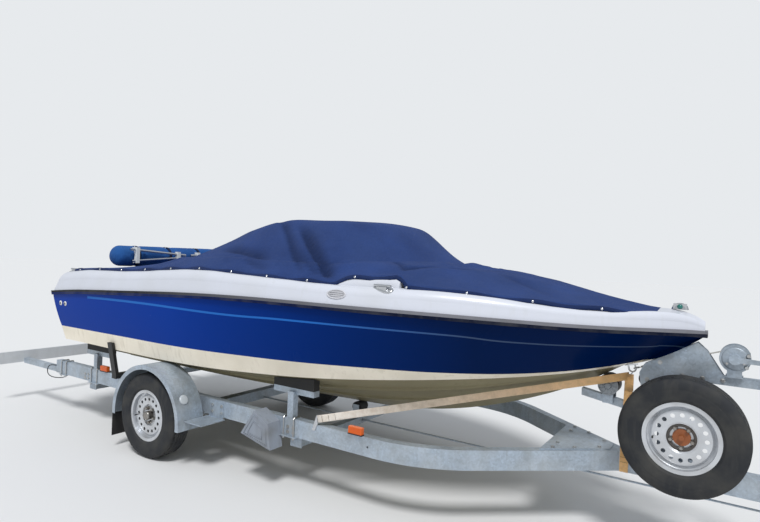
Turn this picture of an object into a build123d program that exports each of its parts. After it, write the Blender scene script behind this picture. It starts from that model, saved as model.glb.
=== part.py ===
"""Bowrider speedboat under its travel cover, on a single-axle braked road trailer.

Millimetres. +X runs forward to the coupling, +Y to port, +Z up, and z = 0 is the ground that the tyres and the
jockey wheel stand on. The origin is the middle of the whole outfit on the ground. Pieces are drawn from the axle line ("ahead" is the
distance forward of it), and finish() moves them to the origin.
"""

from build123d import *
import math
import os

os.makedirs("parts", exist_ok=True)

# Outfit
BOW_AHEAD = 3622
LAMP_FACE_AHEAD = -2440
MUDGUARD_OUTER_Y = 1100
SEAT_GAP = 0.3
SIDES = (("right", -1), ("left", 1))

# Wheels: 185 R14C on 14 inch pressed steel rims
TYRE_RADIUS = 325
TYRE_HALF_WIDTH = 93
BEAD_RADIUS = 178
FLANGE_RADIUS = 195
RIM_HALF_WIDTH = 76
RIM_SHEET = 5
WHEEL_PLANE_Y = 988
DISC_OFFSET = 30
VENT_COUNT = 16
VENT_CIRCLE_RADIUS = 122
VENT_RADIUS = 12
BOWL_RADIUS = 82
BOWL_DEPTH = 26
STUD_COUNT = 5
STUD_CIRCLE_RADIUS = 56
STUD_RADIUS = 9
HUB_BORE_RADIUS = 33
DRUM_RADIUS = 125

# Chassis
BEAM_OUTER_Y = 830
BEAM_WIDTH = 60
BEAM_HEIGHT = 120
BEAM_WALL = 4
BEAM_TOP = 490
BEAM_REAR_AHEAD = -1760
BEND_CORNER_AHEAD = 2225
BEND_ANGLE = 39
BEND_RADIUS = 870
DRAWBAR_WIDTH = 100
DRAWBAR_WALL = 6
DRAWBAR_REAR_AHEAD = BEND_CORNER_AHEAD + 645
PLATE = 6
GUSSET_REAR_AHEAD = BEND_CORNER_AHEAD + 575
GUSSET_LENGTH = 350
GUSSET_REAR_HALF = 345
GUSSET_FRONT_HALF = 60
CROSS_HEIGHT = 50
CROSS_WIDTH = 60
CROSS_TOP = 330
CROSS_AHEAD = (-1230, 1250)
AXLE_TUBE = 80
AXLE_TUBE_AHEAD = 155
ARM_THICKNESS = 36
ARM_HEIGHT = 80
STUB_RADIUS = 25
RUNNING_FIT = 0.08
EYE_HOLE_AHEAD = 1880
EYE_HOLE_RADIUS = 6.5
ROD_RADIUS = 6
ROD_Z = 305

# Mudguards and steps
GUARD_RADIUS = 405
GUARD_CENTRE_AHEAD = 15
GUARD_CENTRE_Z = 312
GUARD_INNER_Y = 875
GUARD_SHEET = 3
GUARD_LIP = 34
FLAP_BOTTOM_Z = 100
FLAP_SHEET = 6
STEP_LENGTH = 190

# Boat supports
KEEL_ROLLER_RADIUS = 42
KEEL_ROLLER_LENGTH = 100
ROLLER_PIN_RADIUS = 8
BOW_ROLLER_RADIUS = 62
BOW_ROLLER_AHEAD = BOW_AHEAD - 500
BUNK_AHEAD = (-1110, 1235)
BUNK_Y = 770
BUNK_LENGTH = 360
BUNK_POST = 50
BUNK_PAD = 34
CRADLE_AHEAD = -650
CRADLE_INNER_Y = 360
CRADLE_OUTER_Y = 895
CRADLE_TUBE = 40
SIDE_POST_TOP_Z = 800
SIDE_POST = 28
SIDE_POST_FOOT_Y = 904
SIDE_POST_LEAN = 0.195

# Winch stand, bow stop and winch
STAND_POST = 60
STAND_TUBE = 50
STAND_TUBE_TOP = 1020
STAND_TUBE_REAR_AHEAD = BOW_AHEAD - 222
BOW_STOP_AHEAD = BOW_AHEAD - 287
BOW_STOP_Z = 945
BOW_STOP_RADIUS = 48
WINCH_AHEAD = BOW_AHEAD + 151
WINCH_Z = 1126
WINCH_DISC_RADIUS = 76
WINCH_HALF_WIDTH = 48
STRAP_WIDTH = 44
STRAP_THICKNESS = 4
STRAP_WOUND_RADIUS = 50
WINCH_DRUM_RADIUS = 30
BOW_EYE_AHEAD = BOW_AHEAD - 382
EYE_PLATE_LENGTH = 74
EYE_PLATE_WIDTH = 22
EYE_BOLT_RADIUS_IN = 19
EYE_BOLT_RADIUS = 5
LINK_RADIUS = 16
LINK_BAR_RADIUS = 4

# Spare wheel, with the winch stand's post and the drawbar's end ahead of it
SPARE_AHEAD = BOW_AHEAD - 77
STAND_AHEAD = SPARE_AHEAD + 475
DRAWBAR_FRONT_AHEAD = STAND_AHEAD + 230
SPARE_Z = 697
SPARE_PLANE_Y = -217

# Coupling, handbrake and jockey wheel
SHAFT_RADIUS = 25
GAITER_RADIUS = 40
HOUSING_LENGTH = 80
HEAD_REAR_AHEAD = DRAWBAR_FRONT_AHEAD + 250
HEAD_LENGTH = 250
COUPLING_NOSE_AHEAD = HEAD_REAR_AHEAD + HEAD_LENGTH
BALL_RADIUS = 25
BALL_AHEAD = HEAD_REAR_AHEAD + 200
BALL_Z = 432
JOCKEY_AHEAD = DRAWBAR_FRONT_AHEAD - 120
JOCKEY_Y = -96
JOCKEY_TUBE_RADIUS = 30
JOCKEY_TUBE_WALL = 3.5
JOCKEY_TUBE_BOTTOM = 365
JOCKEY_TUBE_TOP = 800
JOCKEY_WHEEL_RADIUS = 100
JOCKEY_WHEEL_WIDTH = 50
JOCKEY_TRAIL = 45
JOCKEY_FORK_TOP = 226
JOCKEY_FIT = 0.4
JOCKEY_INNER_TOP = 640

# Light board
BOARD_HALF_WIDTH = 1090
BOARD_BOTTOM = 385
BOARD_HEIGHT = 115
BOARD_DEPTH = 24
LAMP_DEPTH = 15.7
BOARD_TUBE_FRONT_AHEAD = -1500

# Fittings on the trailer
ROD_FRONT_AHEAD = DRAWBAR_FRONT_AHEAD - 300
CHOCK = ((1020, 526), (900, 350), (1180, 286), (1150, 460))
MARKER_AHEAD = (-950, 1790)
# Cleats: ahead, and in from the deck's side, which is found this far below the deck's middle
CLEATS = ((-1405, 97), (1985, 39))
CLEAT_SIDE_BELOW = 100
LAMP_WIDTH = 200
PLATE_PANEL_HALF = 270
PLATE_PANEL_DEPTH = 3

# Tie-down strap: from the starboard beam to the bow eye, then down and round the drawbar
TIE_WIDTH = 50
TIE_THICKNESS = 3
TIE_HOOK_AHEAD = 1484
TIE_HOOK_Z = 530
TIE_LOOP_AHEAD = BOW_ROLLER_AHEAD + 107

# Cable of the light board, which leaves the starboard beam over the board's tube and goes in again from below
CABLE_RADIUS = 4
CABLE_BEND = 26
CABLE_HOLE_AHEAD = -1600

# Hull and deck sections, spaced evenly from the bow back to the stern station
# keel z, chine y, chine z, band y, band z, sheer y, sheer z, deck edge z, deck edge inset from the sheer
STERN_STATION_AHEAD = -1778
SECTIONS = (
    (1226, 3, 1229, 6, 1233, 22, 1249, 1300, 10),
    (990, 60, 1004, 140, 1022, 362, 1258, 1356, 50),
    (748, 405, 928, 480, 957, 654, 1274, 1392, 70),
    (588, 652, 880, 722, 934, 860, 1289, 1428, 78),
    (492, 800, 835, 862, 922, 980, 1296, 1428, 82),
    (457, 875, 795, 933, 904, 1034, 1299, 1438, 85),
    (444, 908, 766, 957, 888, 1054, 1296, 1454, 87),
    (438, 930, 745, 972, 875, 1057, 1284, 1468, 88),
    (436, 937, 736, 976, 869, 1050, 1264, 1446, 89),
    (434, 940, 737, 970, 868, 1037, 1240, 1415, 90),
    (433, 939, 741, 964, 866, 1022, 1217, 1402, 91),
    (432, 937, 744, 958, 864, 1003, 1187, 1374, 92),
    (432, 933, 748, 950, 862, 980, 1150, 1320, 92),
)
STATION_STEP = (BOW_AHEAD - STERN_STATION_AHEAD) / (len(SECTIONS) - 1)
HULL_BOTTOM_WALL = 45
HULL_SIDE_WALL = 30
CHINE_FLAT = 45
TOPSIDE_BULGE = 9
TRANSOM_RAKE = 20
TRANSOM_AHEAD = -1565
TRANSOM_TOP_Z = 1160
TRANSOM_WALL = 55
BULKHEAD_AHEAD = BOW_AHEAD - 772

# Deck moulding
DECK_SKIN = 25
DECK_CROWN = 14
DECK_STERN_LEAN = 25
SIDE_DECK = 95
COCKPIT_REAR_AHEAD = -880
RAIL_OUT = 14
RAIL_BELOW = 24
RAIL_ABOVE = 14

# Travel cover, on the hull's stations: shoulder y, shoulder z, crown z
COVER = (
    (4, 1322, 1328),
    (60, 1400, 1412),
    (230, 1496, 1503),
    (380, 1568, 1578),
    (530, 1836, 1854),
    (545, 1860, 1884),
    (545, 1856, 1880),
    (520, 1806, 1828),
    (505, 1655, 1675),
    (520, 1502, 1518),
    (560, 1426, 1438),
    (600, 1392, 1399),
    (600, 1345, 1350),
)
COVER_REAR_AHEAD = -1330
COVER_FRONT_AHEAD = BOW_AHEAD - 232
COVER_HEM = 14
COVER_SKIN = 12

# Folded sun top
BOOT_AHEAD = -1050
BOOT_RADIUS = 104
BOOT_HALF_LENGTH = 740
BOW_TUBE_RADIUS = 11

# Engine and stern drive
ENGINE_LENGTH = 740
ENGINE_WIDTH = 520
ENGINE_HEIGHT = 500
STRINGER_Y = 200
STRINGER_WIDTH = 60
STRINGER_TOP = 700
DRIVE_TILT = 50
DRIVE_AXIS_AHEAD = -1600
DRIVE_AXIS_Z = 820
SHIELD_THICKNESS = 25
RING_HALF_HEIGHT = 160
STEER_PIN_RADIUS = 11
TILT_PIN_RADIUS = 11
PROP_SHAFT_RADIUS = 14
PROP_SHAFT_DOWN = 450
PROP_RADIUS = 176
PROP_HUB_RADIUS = 48
BLADE_COUNT = 3


def finish(part, name):
    """Moves a finished piece from the axle line to the middle of the outfit, labels it and writes it."""
    placed = Pos(-OUTFIT_MIDDLE_AHEAD, 0, 0) * part
    placed.label = name
    export_step(placed, f"parts/{name}.step")


def surface_points(part, origin, direction):
    """Where a line through a piece meets its surface, in order along the line."""
    axis = Axis(origin, direction)
    found = [point for solid in part.solids() for point, _ in solid.find_intersection_points(axis)]
    return sorted(found, key=lambda point: Vector(*direction).dot(point))


def top_of(part, x, y):
    """Height of a piece's top at a place in plan."""
    return surface_points(part, (x, y, -10), (0, 0, 1))[-1].Z


def bottom_of(part, x, y):
    """Height of a piece's underside at a place in plan."""
    return surface_points(part, (x, y, -10), (0, 0, 1))[0].Z


def block(x, y, z):
    """Box between (low, high) pairs in X, Y and Z."""
    middle = [(low + high) / 2 for low, high in (x, y, z)]
    return Pos(*middle) * Box(*[high - low for low, high in (x, y, z)])


def tube(x, y, z, wall, along):
    """Rectangular tube between (low, high) pairs, open at both ends along axis number `along`."""
    inner = [(low - 1, high + 1) if i == along else (low + wall, high - wall) for i, (low, high) in enumerate((x, y, z))]
    return block(x, y, z) - block(*inner)


def bar(start, end, radius, bore=0.0):
    """Round bar from one point to another, bored through if a bore radius is given."""
    line = Vector(*end) - Vector(*start)
    section = Circle(radius) - Circle(bore) if bore else Circle(radius)
    return extrude(Plane(origin=start, z_dir=line) * section, amount=line.length)


def plate_xz(points, y):
    """Plate with an outline of (x, z) points, between a low and a high y."""
    face = Plane(origin=(0, y[1], 0), x_dir=(1, 0, 0), z_dir=(0, -1, 0)) * Polygon(*points, align=None)
    return extrude(face, amount=y[1] - y[0], dir=(0, -1, 0))


def plate_yz(points, x):
    """Plate with an outline of (y, z) points, between a low and a high x."""
    face = Plane(origin=(x[0], 0, 0), x_dir=(0, 1, 0), z_dir=(1, 0, 0)) * Polygon(*points, align=None)
    return extrude(face, amount=x[1] - x[0], dir=(1, 0, 0))


def plate_xy(points, z):
    """Plate with an outline of (x, y) points, between a low and a high z."""
    return extrude(Pos(0, 0, z[0]) * Polygon(*points, align=None), amount=z[1] - z[0], dir=(0, 0, 1))


def turned(points, centre, axis=(0, 1, 0), across=(1, 0, 0)):
    """Solid of revolution about a line through centre, from (distance along the axis, radius) points."""
    profile = Plane(origin=centre, x_dir=axis, z_dir=across) * Polygon(*points, align=None)
    return revolve(profile, axis=Axis(centre, axis))


def port_side(part):
    """The same piece on the port side."""
    return mirror(part, about=Plane.XZ)


def seat_plane(part, x, y, dx, dy):
    """Plane that lies just under a piece's bottom all over a rectangle around a place in plan."""
    corners = [Vector(px, py, bottom_of(part, px, py)) for px, py in ((x - dx, y), (x + dx, y), (x, y + dy))]
    up = (corners[1] - corners[0]).cross(corners[2] - corners[0]).normalized()
    if up.Z < 0:
        up = up * -1
    over = [
        (corners[0] - Vector(px, py, bottom_of(part, px, py))).dot(up)
        for px in (x - dx, x, x + dx)
        for py in (y - dy, y, y + dy)
    ]
    return Plane(origin=corners[0] - up * (max(over) + SEAT_GAP), z_dir=up)


STATION, KEEL, CHINE_Y, CHINE_Z, BAND_Y, BAND_Z, SHEER_Y, SHEER_Z, EDGE_Z, EDGE_IN = range(10)
HULL = [(BOW_AHEAD - STATION_STEP * i, *row) for i, row in enumerate(SECTIONS)][::-1]
WHEEL_Z = TYRE_RADIUS
BEAM_BOTTOM = BEAM_TOP - BEAM_HEIGHT
BEAM_CENTRE_Y = BEAM_OUTER_Y - BEAM_WIDTH / 2
BEAM_CENTRE_Z = BEAM_TOP - BEAM_HEIGHT / 2
BEAM_INNER_Y = BEAM_OUTER_Y - BEAM_WIDTH
OUTFIT_MIDDLE_AHEAD = (COUPLING_NOSE_AHEAD + LAMP_FACE_AHEAD) / 2


def transom_plane(inward=0.0):
    """Raked plane of the transom, moved forward by inward; its normal points forward and down."""
    rake = math.radians(TRANSOM_RAKE)
    return Plane(
        origin=(TRANSOM_AHEAD + inward / math.cos(rake), 0, TRANSOM_TOP_Z),
        x_dir=(0, 1, 0),
        z_dir=(math.cos(rake), 0, math.sin(rake)),
    )


def hull_outline(row, bottom_in=0.0, side_in=0.0, top_up=0.0):
    """Closed hull section: V bottom, chine flat, upright band, bulged topside and a straight lid."""
    station, keel, chine_y, chine_z, band_y, band_z, sheer_y, sheer_z = row[:8]
    flat = min(CHINE_FLAT, chine_y * 0.4)
    with BuildSketch(Plane.YZ.offset(station)) as section:
        with BuildLine():
            ends = []
            for side in (-1, 1):
                chine_in = (side * (chine_y - flat - side_in), chine_z - flat * 0.16 + bottom_in)
                chine = (side * (chine_y - side_in), chine_z + bottom_in)
                band = (side * (band_y - side_in), band_z + bottom_in / 2)
                sheer = (side * (sheer_y - side_in), sheer_z + top_up)
                bulge = (
                    side * ((band_y + sheer_y) / 2 - side_in + TOPSIDE_BULGE * sheer_y / 1050),
                    (band[1] + sheer[1]) / 2,
                )
                Line((0, keel + bottom_in), chine_in)
                Line(chine_in, chine)
                Line(chine, band)
                ThreePointArc(band, bulge, sheer)
                ends.append(sheer)
            Line(*ends)
        make_face()
    return section


def deck_top(row, lift=0.0):
    """Top line of the deck at a station, from the starboard edge over the crown to the port edge."""
    edge_y, edge_z = row[SHEER_Y] - row[EDGE_IN], row[EDGE_Z] + lift
    return [(-edge_y, edge_z), (0, edge_z + DECK_CROWN), (edge_y, edge_z)]


def deck_outline(row, skin=0.0):
    """Deck section: upright side, rounded shoulder and crowned top; skin moves it inward and opens its foot."""
    height = row[EDGE_Z] - row[SHEER_Z]
    foot_y, foot_z = row[SHEER_Y] - skin, row[SHEER_Z] + SEAT_GAP - (60 if skin else 0)
    with BuildSketch(Plane.YZ.offset(row[STATION])) as section:
        with BuildLine():
            left, crown, right = deck_top(row, -skin)
            for side, edge in ((-1, left), (1, right)):
                edge = (edge[0] - side * skin, edge[1])
                shoulder = (side * (foot_y - row[EDGE_IN] / 4), row[SHEER_Z] + height * 0.55 - skin)
                bulge = (
                    edge[0] * 0.32 + shoulder[0] * 0.5 + side * (foot_y - row[EDGE_IN] * 0.3) * 0.18,
                    edge[1] * 0.68 + shoulder[1] * 0.32,
                )
                Line((side * foot_y, foot_z), shoulder)
                ThreePointArc(shoulder, bulge, edge)
                Line(edge, crown)
            Line((-foot_y, foot_z), (foot_y, foot_z))
        make_face()
    return section


def loft_of(outline, rows, *extra, ruled=False):
    """Loft through an outline drawn at each row, joined to the piece being made."""
    for row in rows:
        add(outline(row, *extra).sketch)
    loft(ruled=ruled)


# Hull
with BuildPart() as hollow:
    loft_of(hull_outline, [r for r in HULL if r[0] <= BULKHEAD_AHEAD], HULL_BOTTOM_WALL, HULL_SIDE_WALL, 60)
    split(bisect_by=transom_plane(TRANSOM_WALL))
    for side in (-1, 1):
        with BuildSketch(Plane.XY):
            with Locations((-800, side * STRINGER_Y)):
                Rectangle(900, STRINGER_WIDTH)
        extrude(amount=STRINGER_TOP, mode=Mode.SUBTRACT)
with BuildPart() as hull:
    loft_of(hull_outline, HULL)
    split(bisect_by=transom_plane())
    add(hollow.part, mode=Mode.SUBTRACT)
finish(hull.part, "hull")

# Deck moulding
stern_lean = math.radians(DECK_STERN_LEAN)
with BuildPart() as under_deck:
    loft_of(deck_outline, [r for r in HULL if r[0] <= BULKHEAD_AHEAD], DECK_SKIN)
    split(
        bisect_by=Plane(
            origin=(TRANSOM_AHEAD + 2 * DECK_SKIN, 0, TRANSOM_TOP_Z),
            x_dir=(0, 1, 0),
            z_dir=(math.cos(stern_lean), 0, -math.sin(stern_lean)),
        )
    )
cockpit_side = [
    (row[STATION], row[SHEER_Y] - row[EDGE_IN] - SIDE_DECK)
    for row in HULL
    if COCKPIT_REAR_AHEAD <= row[STATION] <= BULKHEAD_AHEAD
]
with BuildPart() as whole_deck:
    loft_of(deck_outline, HULL)
    split(
        bisect_by=Plane(
            origin=(TRANSOM_AHEAD, 0, TRANSOM_TOP_Z),
            x_dir=(0, 1, 0),
            z_dir=(math.cos(stern_lean), 0, -math.sin(stern_lean)),
        )
    )
with BuildPart() as deck:
    add(whole_deck.part)
    add(under_deck.part, mode=Mode.SUBTRACT)
    with BuildSketch(Plane.XY.offset(1000)):
        with BuildLine():
            Polyline(*cockpit_side, *[(x, -y) for x, y in reversed(cockpit_side)], close=True)
        make_face()
    extrude(amount=1000, mode=Mode.SUBTRACT)
finish(deck.part, "deck")
deck_room = Pos(0, 0, SEAT_GAP) * whole_deck.part


def rail_outline(row, out, below, above):
    """Rectangle over the whole beam at sheer height."""
    half, low, high = row[SHEER_Y] + out, row[SHEER_Z] - below, row[SHEER_Z] + above
    with BuildSketch(Plane.YZ.offset(row[STATION])) as section:
        with BuildLine():
            Polyline((-half, low), (half, low), (half, high), (-half, high), close=True)
        make_face()
    return section


# Rub rail round the sheer, closed over the stem
with BuildPart() as inside_rail:
    loft_of(rail_outline, HULL, 3 * SEAT_GAP, 60, 60)
with BuildPart() as rail_band:
    loft_of(rail_outline, HULL, RAIL_OUT, RAIL_BELOW, RAIL_ABOVE)
    split(bisect_by=transom_plane())
    add(inside_rail.part, mode=Mode.SUBTRACT)
tip_half = HULL[-1][SHEER_Y] + RAIL_OUT
tip_z = HULL[-1][SHEER_Z]
nose = block((BOW_AHEAD - 1, BOW_AHEAD + RAIL_OUT), (-tip_half, tip_half), (tip_z - RAIL_BELOW, tip_z + RAIL_ABOVE))
stem_half = HULL[-1][SHEER_Y] + 4 * SEAT_GAP
nose -= block((BOW_AHEAD - 10, BOW_AHEAD + SEAT_GAP), (-stem_half, stem_half), (tip_z - 60, tip_z + 60))
rub_rail = rail_band.part + nose
finish(rub_rail, "rub_rail")


def cover_outline(row, skin=0.0):
    """Cover section over the deck: short hem, shoulder and crown; skin moves it inward and opens its foot."""
    shoulder_y, shoulder_z, crown_z = COVER[round((BOW_AHEAD - row[STATION]) / STATION_STEP)]
    left, crown, right = deck_top(row, -60 if skin else -DECK_SKIN)
    with BuildSketch(Plane.YZ.offset(row[STATION])) as section:
        with BuildLine():
            outline = [(right[0] - skin, right[1]), (right[0] - skin, row[EDGE_Z] + COVER_HEM - skin / 2)]
            outline += [(shoulder_y - skin / 2, shoulder_z - skin), (0, crown_z - skin)]
            port = [(-y, z) for y, z in reversed(outline[:-1])]
            Polyline(*outline, *port, crown, close=True)
        make_face()
    return section


# Travel cover
with BuildPart() as under_cover:
    loft_of(cover_outline, [r for r in HULL if -500 < r[0] <= BULKHEAD_AHEAD], COVER_SKIN, ruled=True)
with BuildPart() as cover:
    loft_of(cover_outline, HULL, ruled=True)
    split(bisect_by=Plane.YZ.offset(COVER_REAR_AHEAD))
    split(bisect_by=Plane.YZ.offset(COVER_FRONT_AHEAD), keep=Keep.BOTTOM)
    add(under_cover.part, mode=Mode.SUBTRACT)
    add(deck_room, mode=Mode.SUBTRACT)
finish(cover.part, "cover")

# Folded sun top in its boot, lying across the stern
boot_z = SEAT_GAP + max(
    top_of(cover.part, BOOT_AHEAD + dx, 0) + math.sqrt(BOOT_RADIUS**2 - dx**2) for dx in range(-80, 81, 5)
)
boot_profile = (
    (-BOOT_HALF_LENGTH, 0),
    (-BOOT_HALF_LENGTH, BOOT_RADIUS * 0.6),
    (-BOOT_HALF_LENGTH + 50, BOOT_RADIUS * 0.93),
    (-BOOT_HALF_LENGTH + 160, BOOT_RADIUS),
    (BOOT_HALF_LENGTH - 160, BOOT_RADIUS),
    (BOOT_HALF_LENGTH - 50, BOOT_RADIUS * 0.93),
    (BOOT_HALF_LENGTH, BOOT_RADIUS * 0.6),
    (BOOT_HALF_LENGTH, 0),
)
finish(turned(boot_profile, (BOOT_AHEAD, 0, boot_z)), "sun_top_boot")

# Legs of the sun top, folded against the boot, and the saddles that clip them to it
leg_x = BOOT_AHEAD + BOOT_RADIUS + BOW_TUBE_RADIUS + 4
# side, outer end y, outer end above the boot's axis, inner end y, inner end above the boot's axis
SUN_TOP_LEGS = (
    (-1, 640, 62, 30, 20),
    (-1, 620, -46, 30, -2),
    (1, 640, 62, 30, 20),
    (1, 620, -46, 30, -2),
)
legs = []
leg_room = []
for side, outer_y, outer_up, inner_y, inner_up in SUN_TOP_LEGS:
    ends = ((leg_x, side * outer_y, boot_z + outer_up), (leg_x, side * inner_y, boot_z + inner_up))
    legs.append(bar(*ends, BOW_TUBE_RADIUS))
    leg_room.append(bar(*ends, BOW_TUBE_RADIUS + SEAT_GAP))
finish(Part() + legs, "sun_top_legs")
saddles = []
for side in (-1, 1):
    for distance, high, low in ((570, 82, -64), (120, 52, -34)):
        y = side * distance
        saddles.append(block((BOOT_AHEAD + 60, leg_x + 22), (y - 16, y + 16), (boot_z + low, boot_z + high)))
boot_room = bar((BOOT_AHEAD, -800, boot_z), (BOOT_AHEAD, 800, boot_z), BOOT_RADIUS + SEAT_GAP)
finish(Part() + saddles - boot_room - leg_room, "sun_top_saddles")

# Engine on its stringers
engine_rear = -1140
finish(
    block(
        (engine_rear, engine_rear + ENGINE_LENGTH),
        (-ENGINE_WIDTH / 2, ENGINE_WIDTH / 2),
        (STRINGER_TOP + SEAT_GAP, STRINGER_TOP + ENGINE_HEIGHT),
    ),
    "engine_block",
)

# Transom shield with the two lugs that hold the gimbal ring
PIVOT_X = DRIVE_AXIS_AHEAD
PIVOT_Z = DRIVE_AXIS_Z
plate_back = transom_plane(-SEAT_GAP)
shield = extrude(
    Plane(origin=plate_back.origin, x_dir=(0, 1, 0), z_dir=-plate_back.z_dir) * Pos(0, 345) * Rectangle(300, 420),
    amount=SHIELD_THICKNESS,
)
for low, high in ((PIVOT_Z + RING_HALF_HEIGHT + 5, 1010), (630, PIVOT_Z - RING_HALF_HEIGHT - 5)):
    lug = block((PIVOT_X - 20, -1370), (-32, 32), (low, high))
    shield += split(lug, bisect_by=transom_plane(-SEAT_GAP - 1), keep=Keep.BOTTOM)
ring_top, ring_bottom = PIVOT_Z + RING_HALF_HEIGHT, PIVOT_Z - RING_HALF_HEIGHT
STEER_PINS = ((ring_top - 15, ring_top + 10), (ring_bottom - 10, ring_bottom + 15))
for low, high in STEER_PINS:
    shield += bar((PIVOT_X, 0, low), (PIVOT_X, 0, high), STEER_PIN_RADIUS)
finish(shield, "transom_shield")

# Gimbal ring, which steers about its upright pins
ring = block(
    (PIVOT_X - 15, PIVOT_X + 15), (-100, 100), (PIVOT_Z - RING_HALF_HEIGHT, PIVOT_Z + RING_HALF_HEIGHT)
) - block(
    (PIVOT_X - 16, PIVOT_X + 16), (-82, 82), (PIVOT_Z - RING_HALF_HEIGHT + 18, PIVOT_Z + RING_HALF_HEIGHT - 18)
)
ring -= bar((PIVOT_X, 0, ring_bottom - 1), (PIVOT_X, 0, ring_top + 1), STEER_PIN_RADIUS + RUNNING_FIT)
ring -= bar((PIVOT_X, -101, PIVOT_Z), (PIVOT_X, 101, PIVOT_Z), TILT_PIN_RADIUS + RUNNING_FIT)
finish(ring, "gimbal_ring")


def tilted(part):
    """Swings a piece of the drive from straight down up to the tilt it is parked at."""
    return part.rotate(Axis((PIVOT_X, 0, PIVOT_Z), (0, 1, 0)), DRIVE_TILT)


def drive_plate(points, half_width):
    """Plate of the lowered drive from (aft of the pivot, above the pivot) points."""
    return plate_xz([(PIVOT_X - aft, PIVOT_Z + up) for aft, up in points], (-half_width, half_width))


# Stern drive leg, drawn lowered: bell in the ring, upper housing, plate, gearcase and skeg
shaft_z = PIVOT_Z - PROP_SHAFT_DOWN
leg = drive_plate(((-30, -80), (-30, 60), (0, 80), (45, 80), (45, -80)), 76)
leg += drive_plate(((40, -205), (40, 60), (60, 72), (110, 76), (210, 70), (235, 45), (235, -205)), 66)
leg += drive_plate(((60, -262), (60, -200), (225, -200), (225, -262)), 44)
leg += drive_plate(((20, -265), (20, -255), (380, -255), (380, -265)), 95)
leg += drive_plate(((70, -460), (60, -260), (250, -260), (230, -460)), 22)
leg += turned(
    ((0, 0), (12, 20), (50, 42), (120, 52), (260, 52), (330, PROP_HUB_RADIUS), (365, PROP_HUB_RADIUS), (365, 0)),
    (PIVOT_X, 0, shaft_z),
    axis=(-1, 0, 0),
    across=(0, 1, 0),
)
leg += drive_plate(((110, -470), (150, -640), (290, -640), (260, -470)), 7)
leg += bar((PIVOT_X, -98, PIVOT_Z), (PIVOT_X, 98, PIVOT_Z), TILT_PIN_RADIUS)
leg += bar((PIVOT_X - 360, 0, shaft_z), (PIVOT_X - 470, 0, shaft_z), PROP_SHAFT_RADIUS)
finish(tilted(leg), "drive_leg")

# Propeller
blade = loft(
    [
        Pos(0, 0, radius) * Rot(0, 0, pitch) * Rectangle(thickness, chord)
        for radius, pitch, chord, thickness in ((40, 28, 84, 12), (105, 50, 116, 8), (PROP_RADIUS, 62, 60, 4))
    ]
)
prop_x = PIVOT_X - 424
propeller = turned(
    ((-53, 0), (-53, PROP_HUB_RADIUS), (53, PROP_HUB_RADIUS - 6), (53, 0)),
    (prop_x, 0, shaft_z),
    axis=(-1, 0, 0),
    across=(0, 1, 0),
)
for i in range(BLADE_COUNT):
    propeller += Pos(prop_x, 0, shaft_z) * Rot(360 / BLADE_COUNT * i, 0, 0) * blade
propeller -= bar((PIVOT_X - 360, 0, shaft_z), (PIVOT_X - 472, 0, shaft_z), PROP_SHAFT_RADIUS + RUNNING_FIT)
finish(tilted(propeller), "propeller")

# Chassis beams: straight, then bent in to the drawbar
for name, side in SIDES:
    run = DRAWBAR_REAR_AHEAD + 560 - BEND_CORNER_AHEAD
    path = FilletPolyline(
        (BEAM_REAR_AHEAD, side * BEAM_CENTRE_Y, BEAM_CENTRE_Z),
        (BEND_CORNER_AHEAD, side * BEAM_CENTRE_Y, BEAM_CENTRE_Z),
        (
            BEND_CORNER_AHEAD + run,
            side * (BEAM_CENTRE_Y - run * math.tan(math.radians(BEND_ANGLE))),
            BEAM_CENTRE_Z,
        ),
        radius=BEND_RADIUS,
    )
    section = Rectangle(BEAM_WIDTH, BEAM_HEIGHT) - Rectangle(BEAM_WIDTH - 2 * BEAM_WALL, BEAM_HEIGHT - 2 * BEAM_WALL)
    beam = sweep(Plane(origin=path @ 0, x_dir=(0, 1, 0), z_dir=(1, 0, 0)) * section, path=path)
    clear = DRAWBAR_WIDTH / 2 + SEAT_GAP
    beyond = (DRAWBAR_REAR_AHEAD - 270, DRAWBAR_REAR_AHEAD + 930)
    beam -= block(beyond, (-clear, 900) if side < 0 else (-900, clear), (300, 600))
    beam -= bar((EYE_HOLE_AHEAD, side * 780, BEAM_CENTRE_Z), (EYE_HOLE_AHEAD, side * 900, BEAM_CENTRE_Z), EYE_HOLE_RADIUS)
    finish(beam, f"beam_{name}")

half = DRAWBAR_WIDTH / 2
drawbar = tube(
    (DRAWBAR_REAR_AHEAD, DRAWBAR_FRONT_AHEAD), (-half, half), (BEAM_BOTTOM, BEAM_TOP), DRAWBAR_WALL, 0
)
finish(drawbar, "drawbar")
gusset_front = GUSSET_REAR_AHEAD + GUSSET_LENGTH
outline = [
    (GUSSET_REAR_AHEAD, GUSSET_REAR_HALF),
    (gusset_front, GUSSET_FRONT_HALF),
    (gusset_front, -GUSSET_FRONT_HALF),
    (GUSSET_REAR_AHEAD, -GUSSET_REAR_HALF),
]
gussets = Part()
for low in (BEAM_TOP + SEAT_GAP, BEAM_BOTTOM - SEAT_GAP - PLATE):
    gussets += plate_xy(outline, (low, low + PLATE))
finish(gussets, "gusset_plates")

# Cross members under the boat, with the end plates that bolt inside the beams
inner_face = BEAM_INNER_Y - SEAT_GAP
cross_members = Part()
for x in CROSS_AHEAD:
    cross_members += tube(
        (x - CROSS_WIDTH / 2, x + CROSS_WIDTH / 2), (-inner_face + 2, inner_face - 2), (CROSS_TOP - CROSS_HEIGHT, CROSS_TOP), 4, 1
    ) - bar((x - 60, 0, ROD_Z), (x + 60, 0, ROD_Z), ROD_RADIUS + 5)
    for side in (-1, 1):
        ends = sorted((side * inner_face, side * (inner_face - PLATE)))
        cross_members += block((x - 50, x + 50), ends, (CROSS_TOP - CROSS_HEIGHT, 450))

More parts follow.
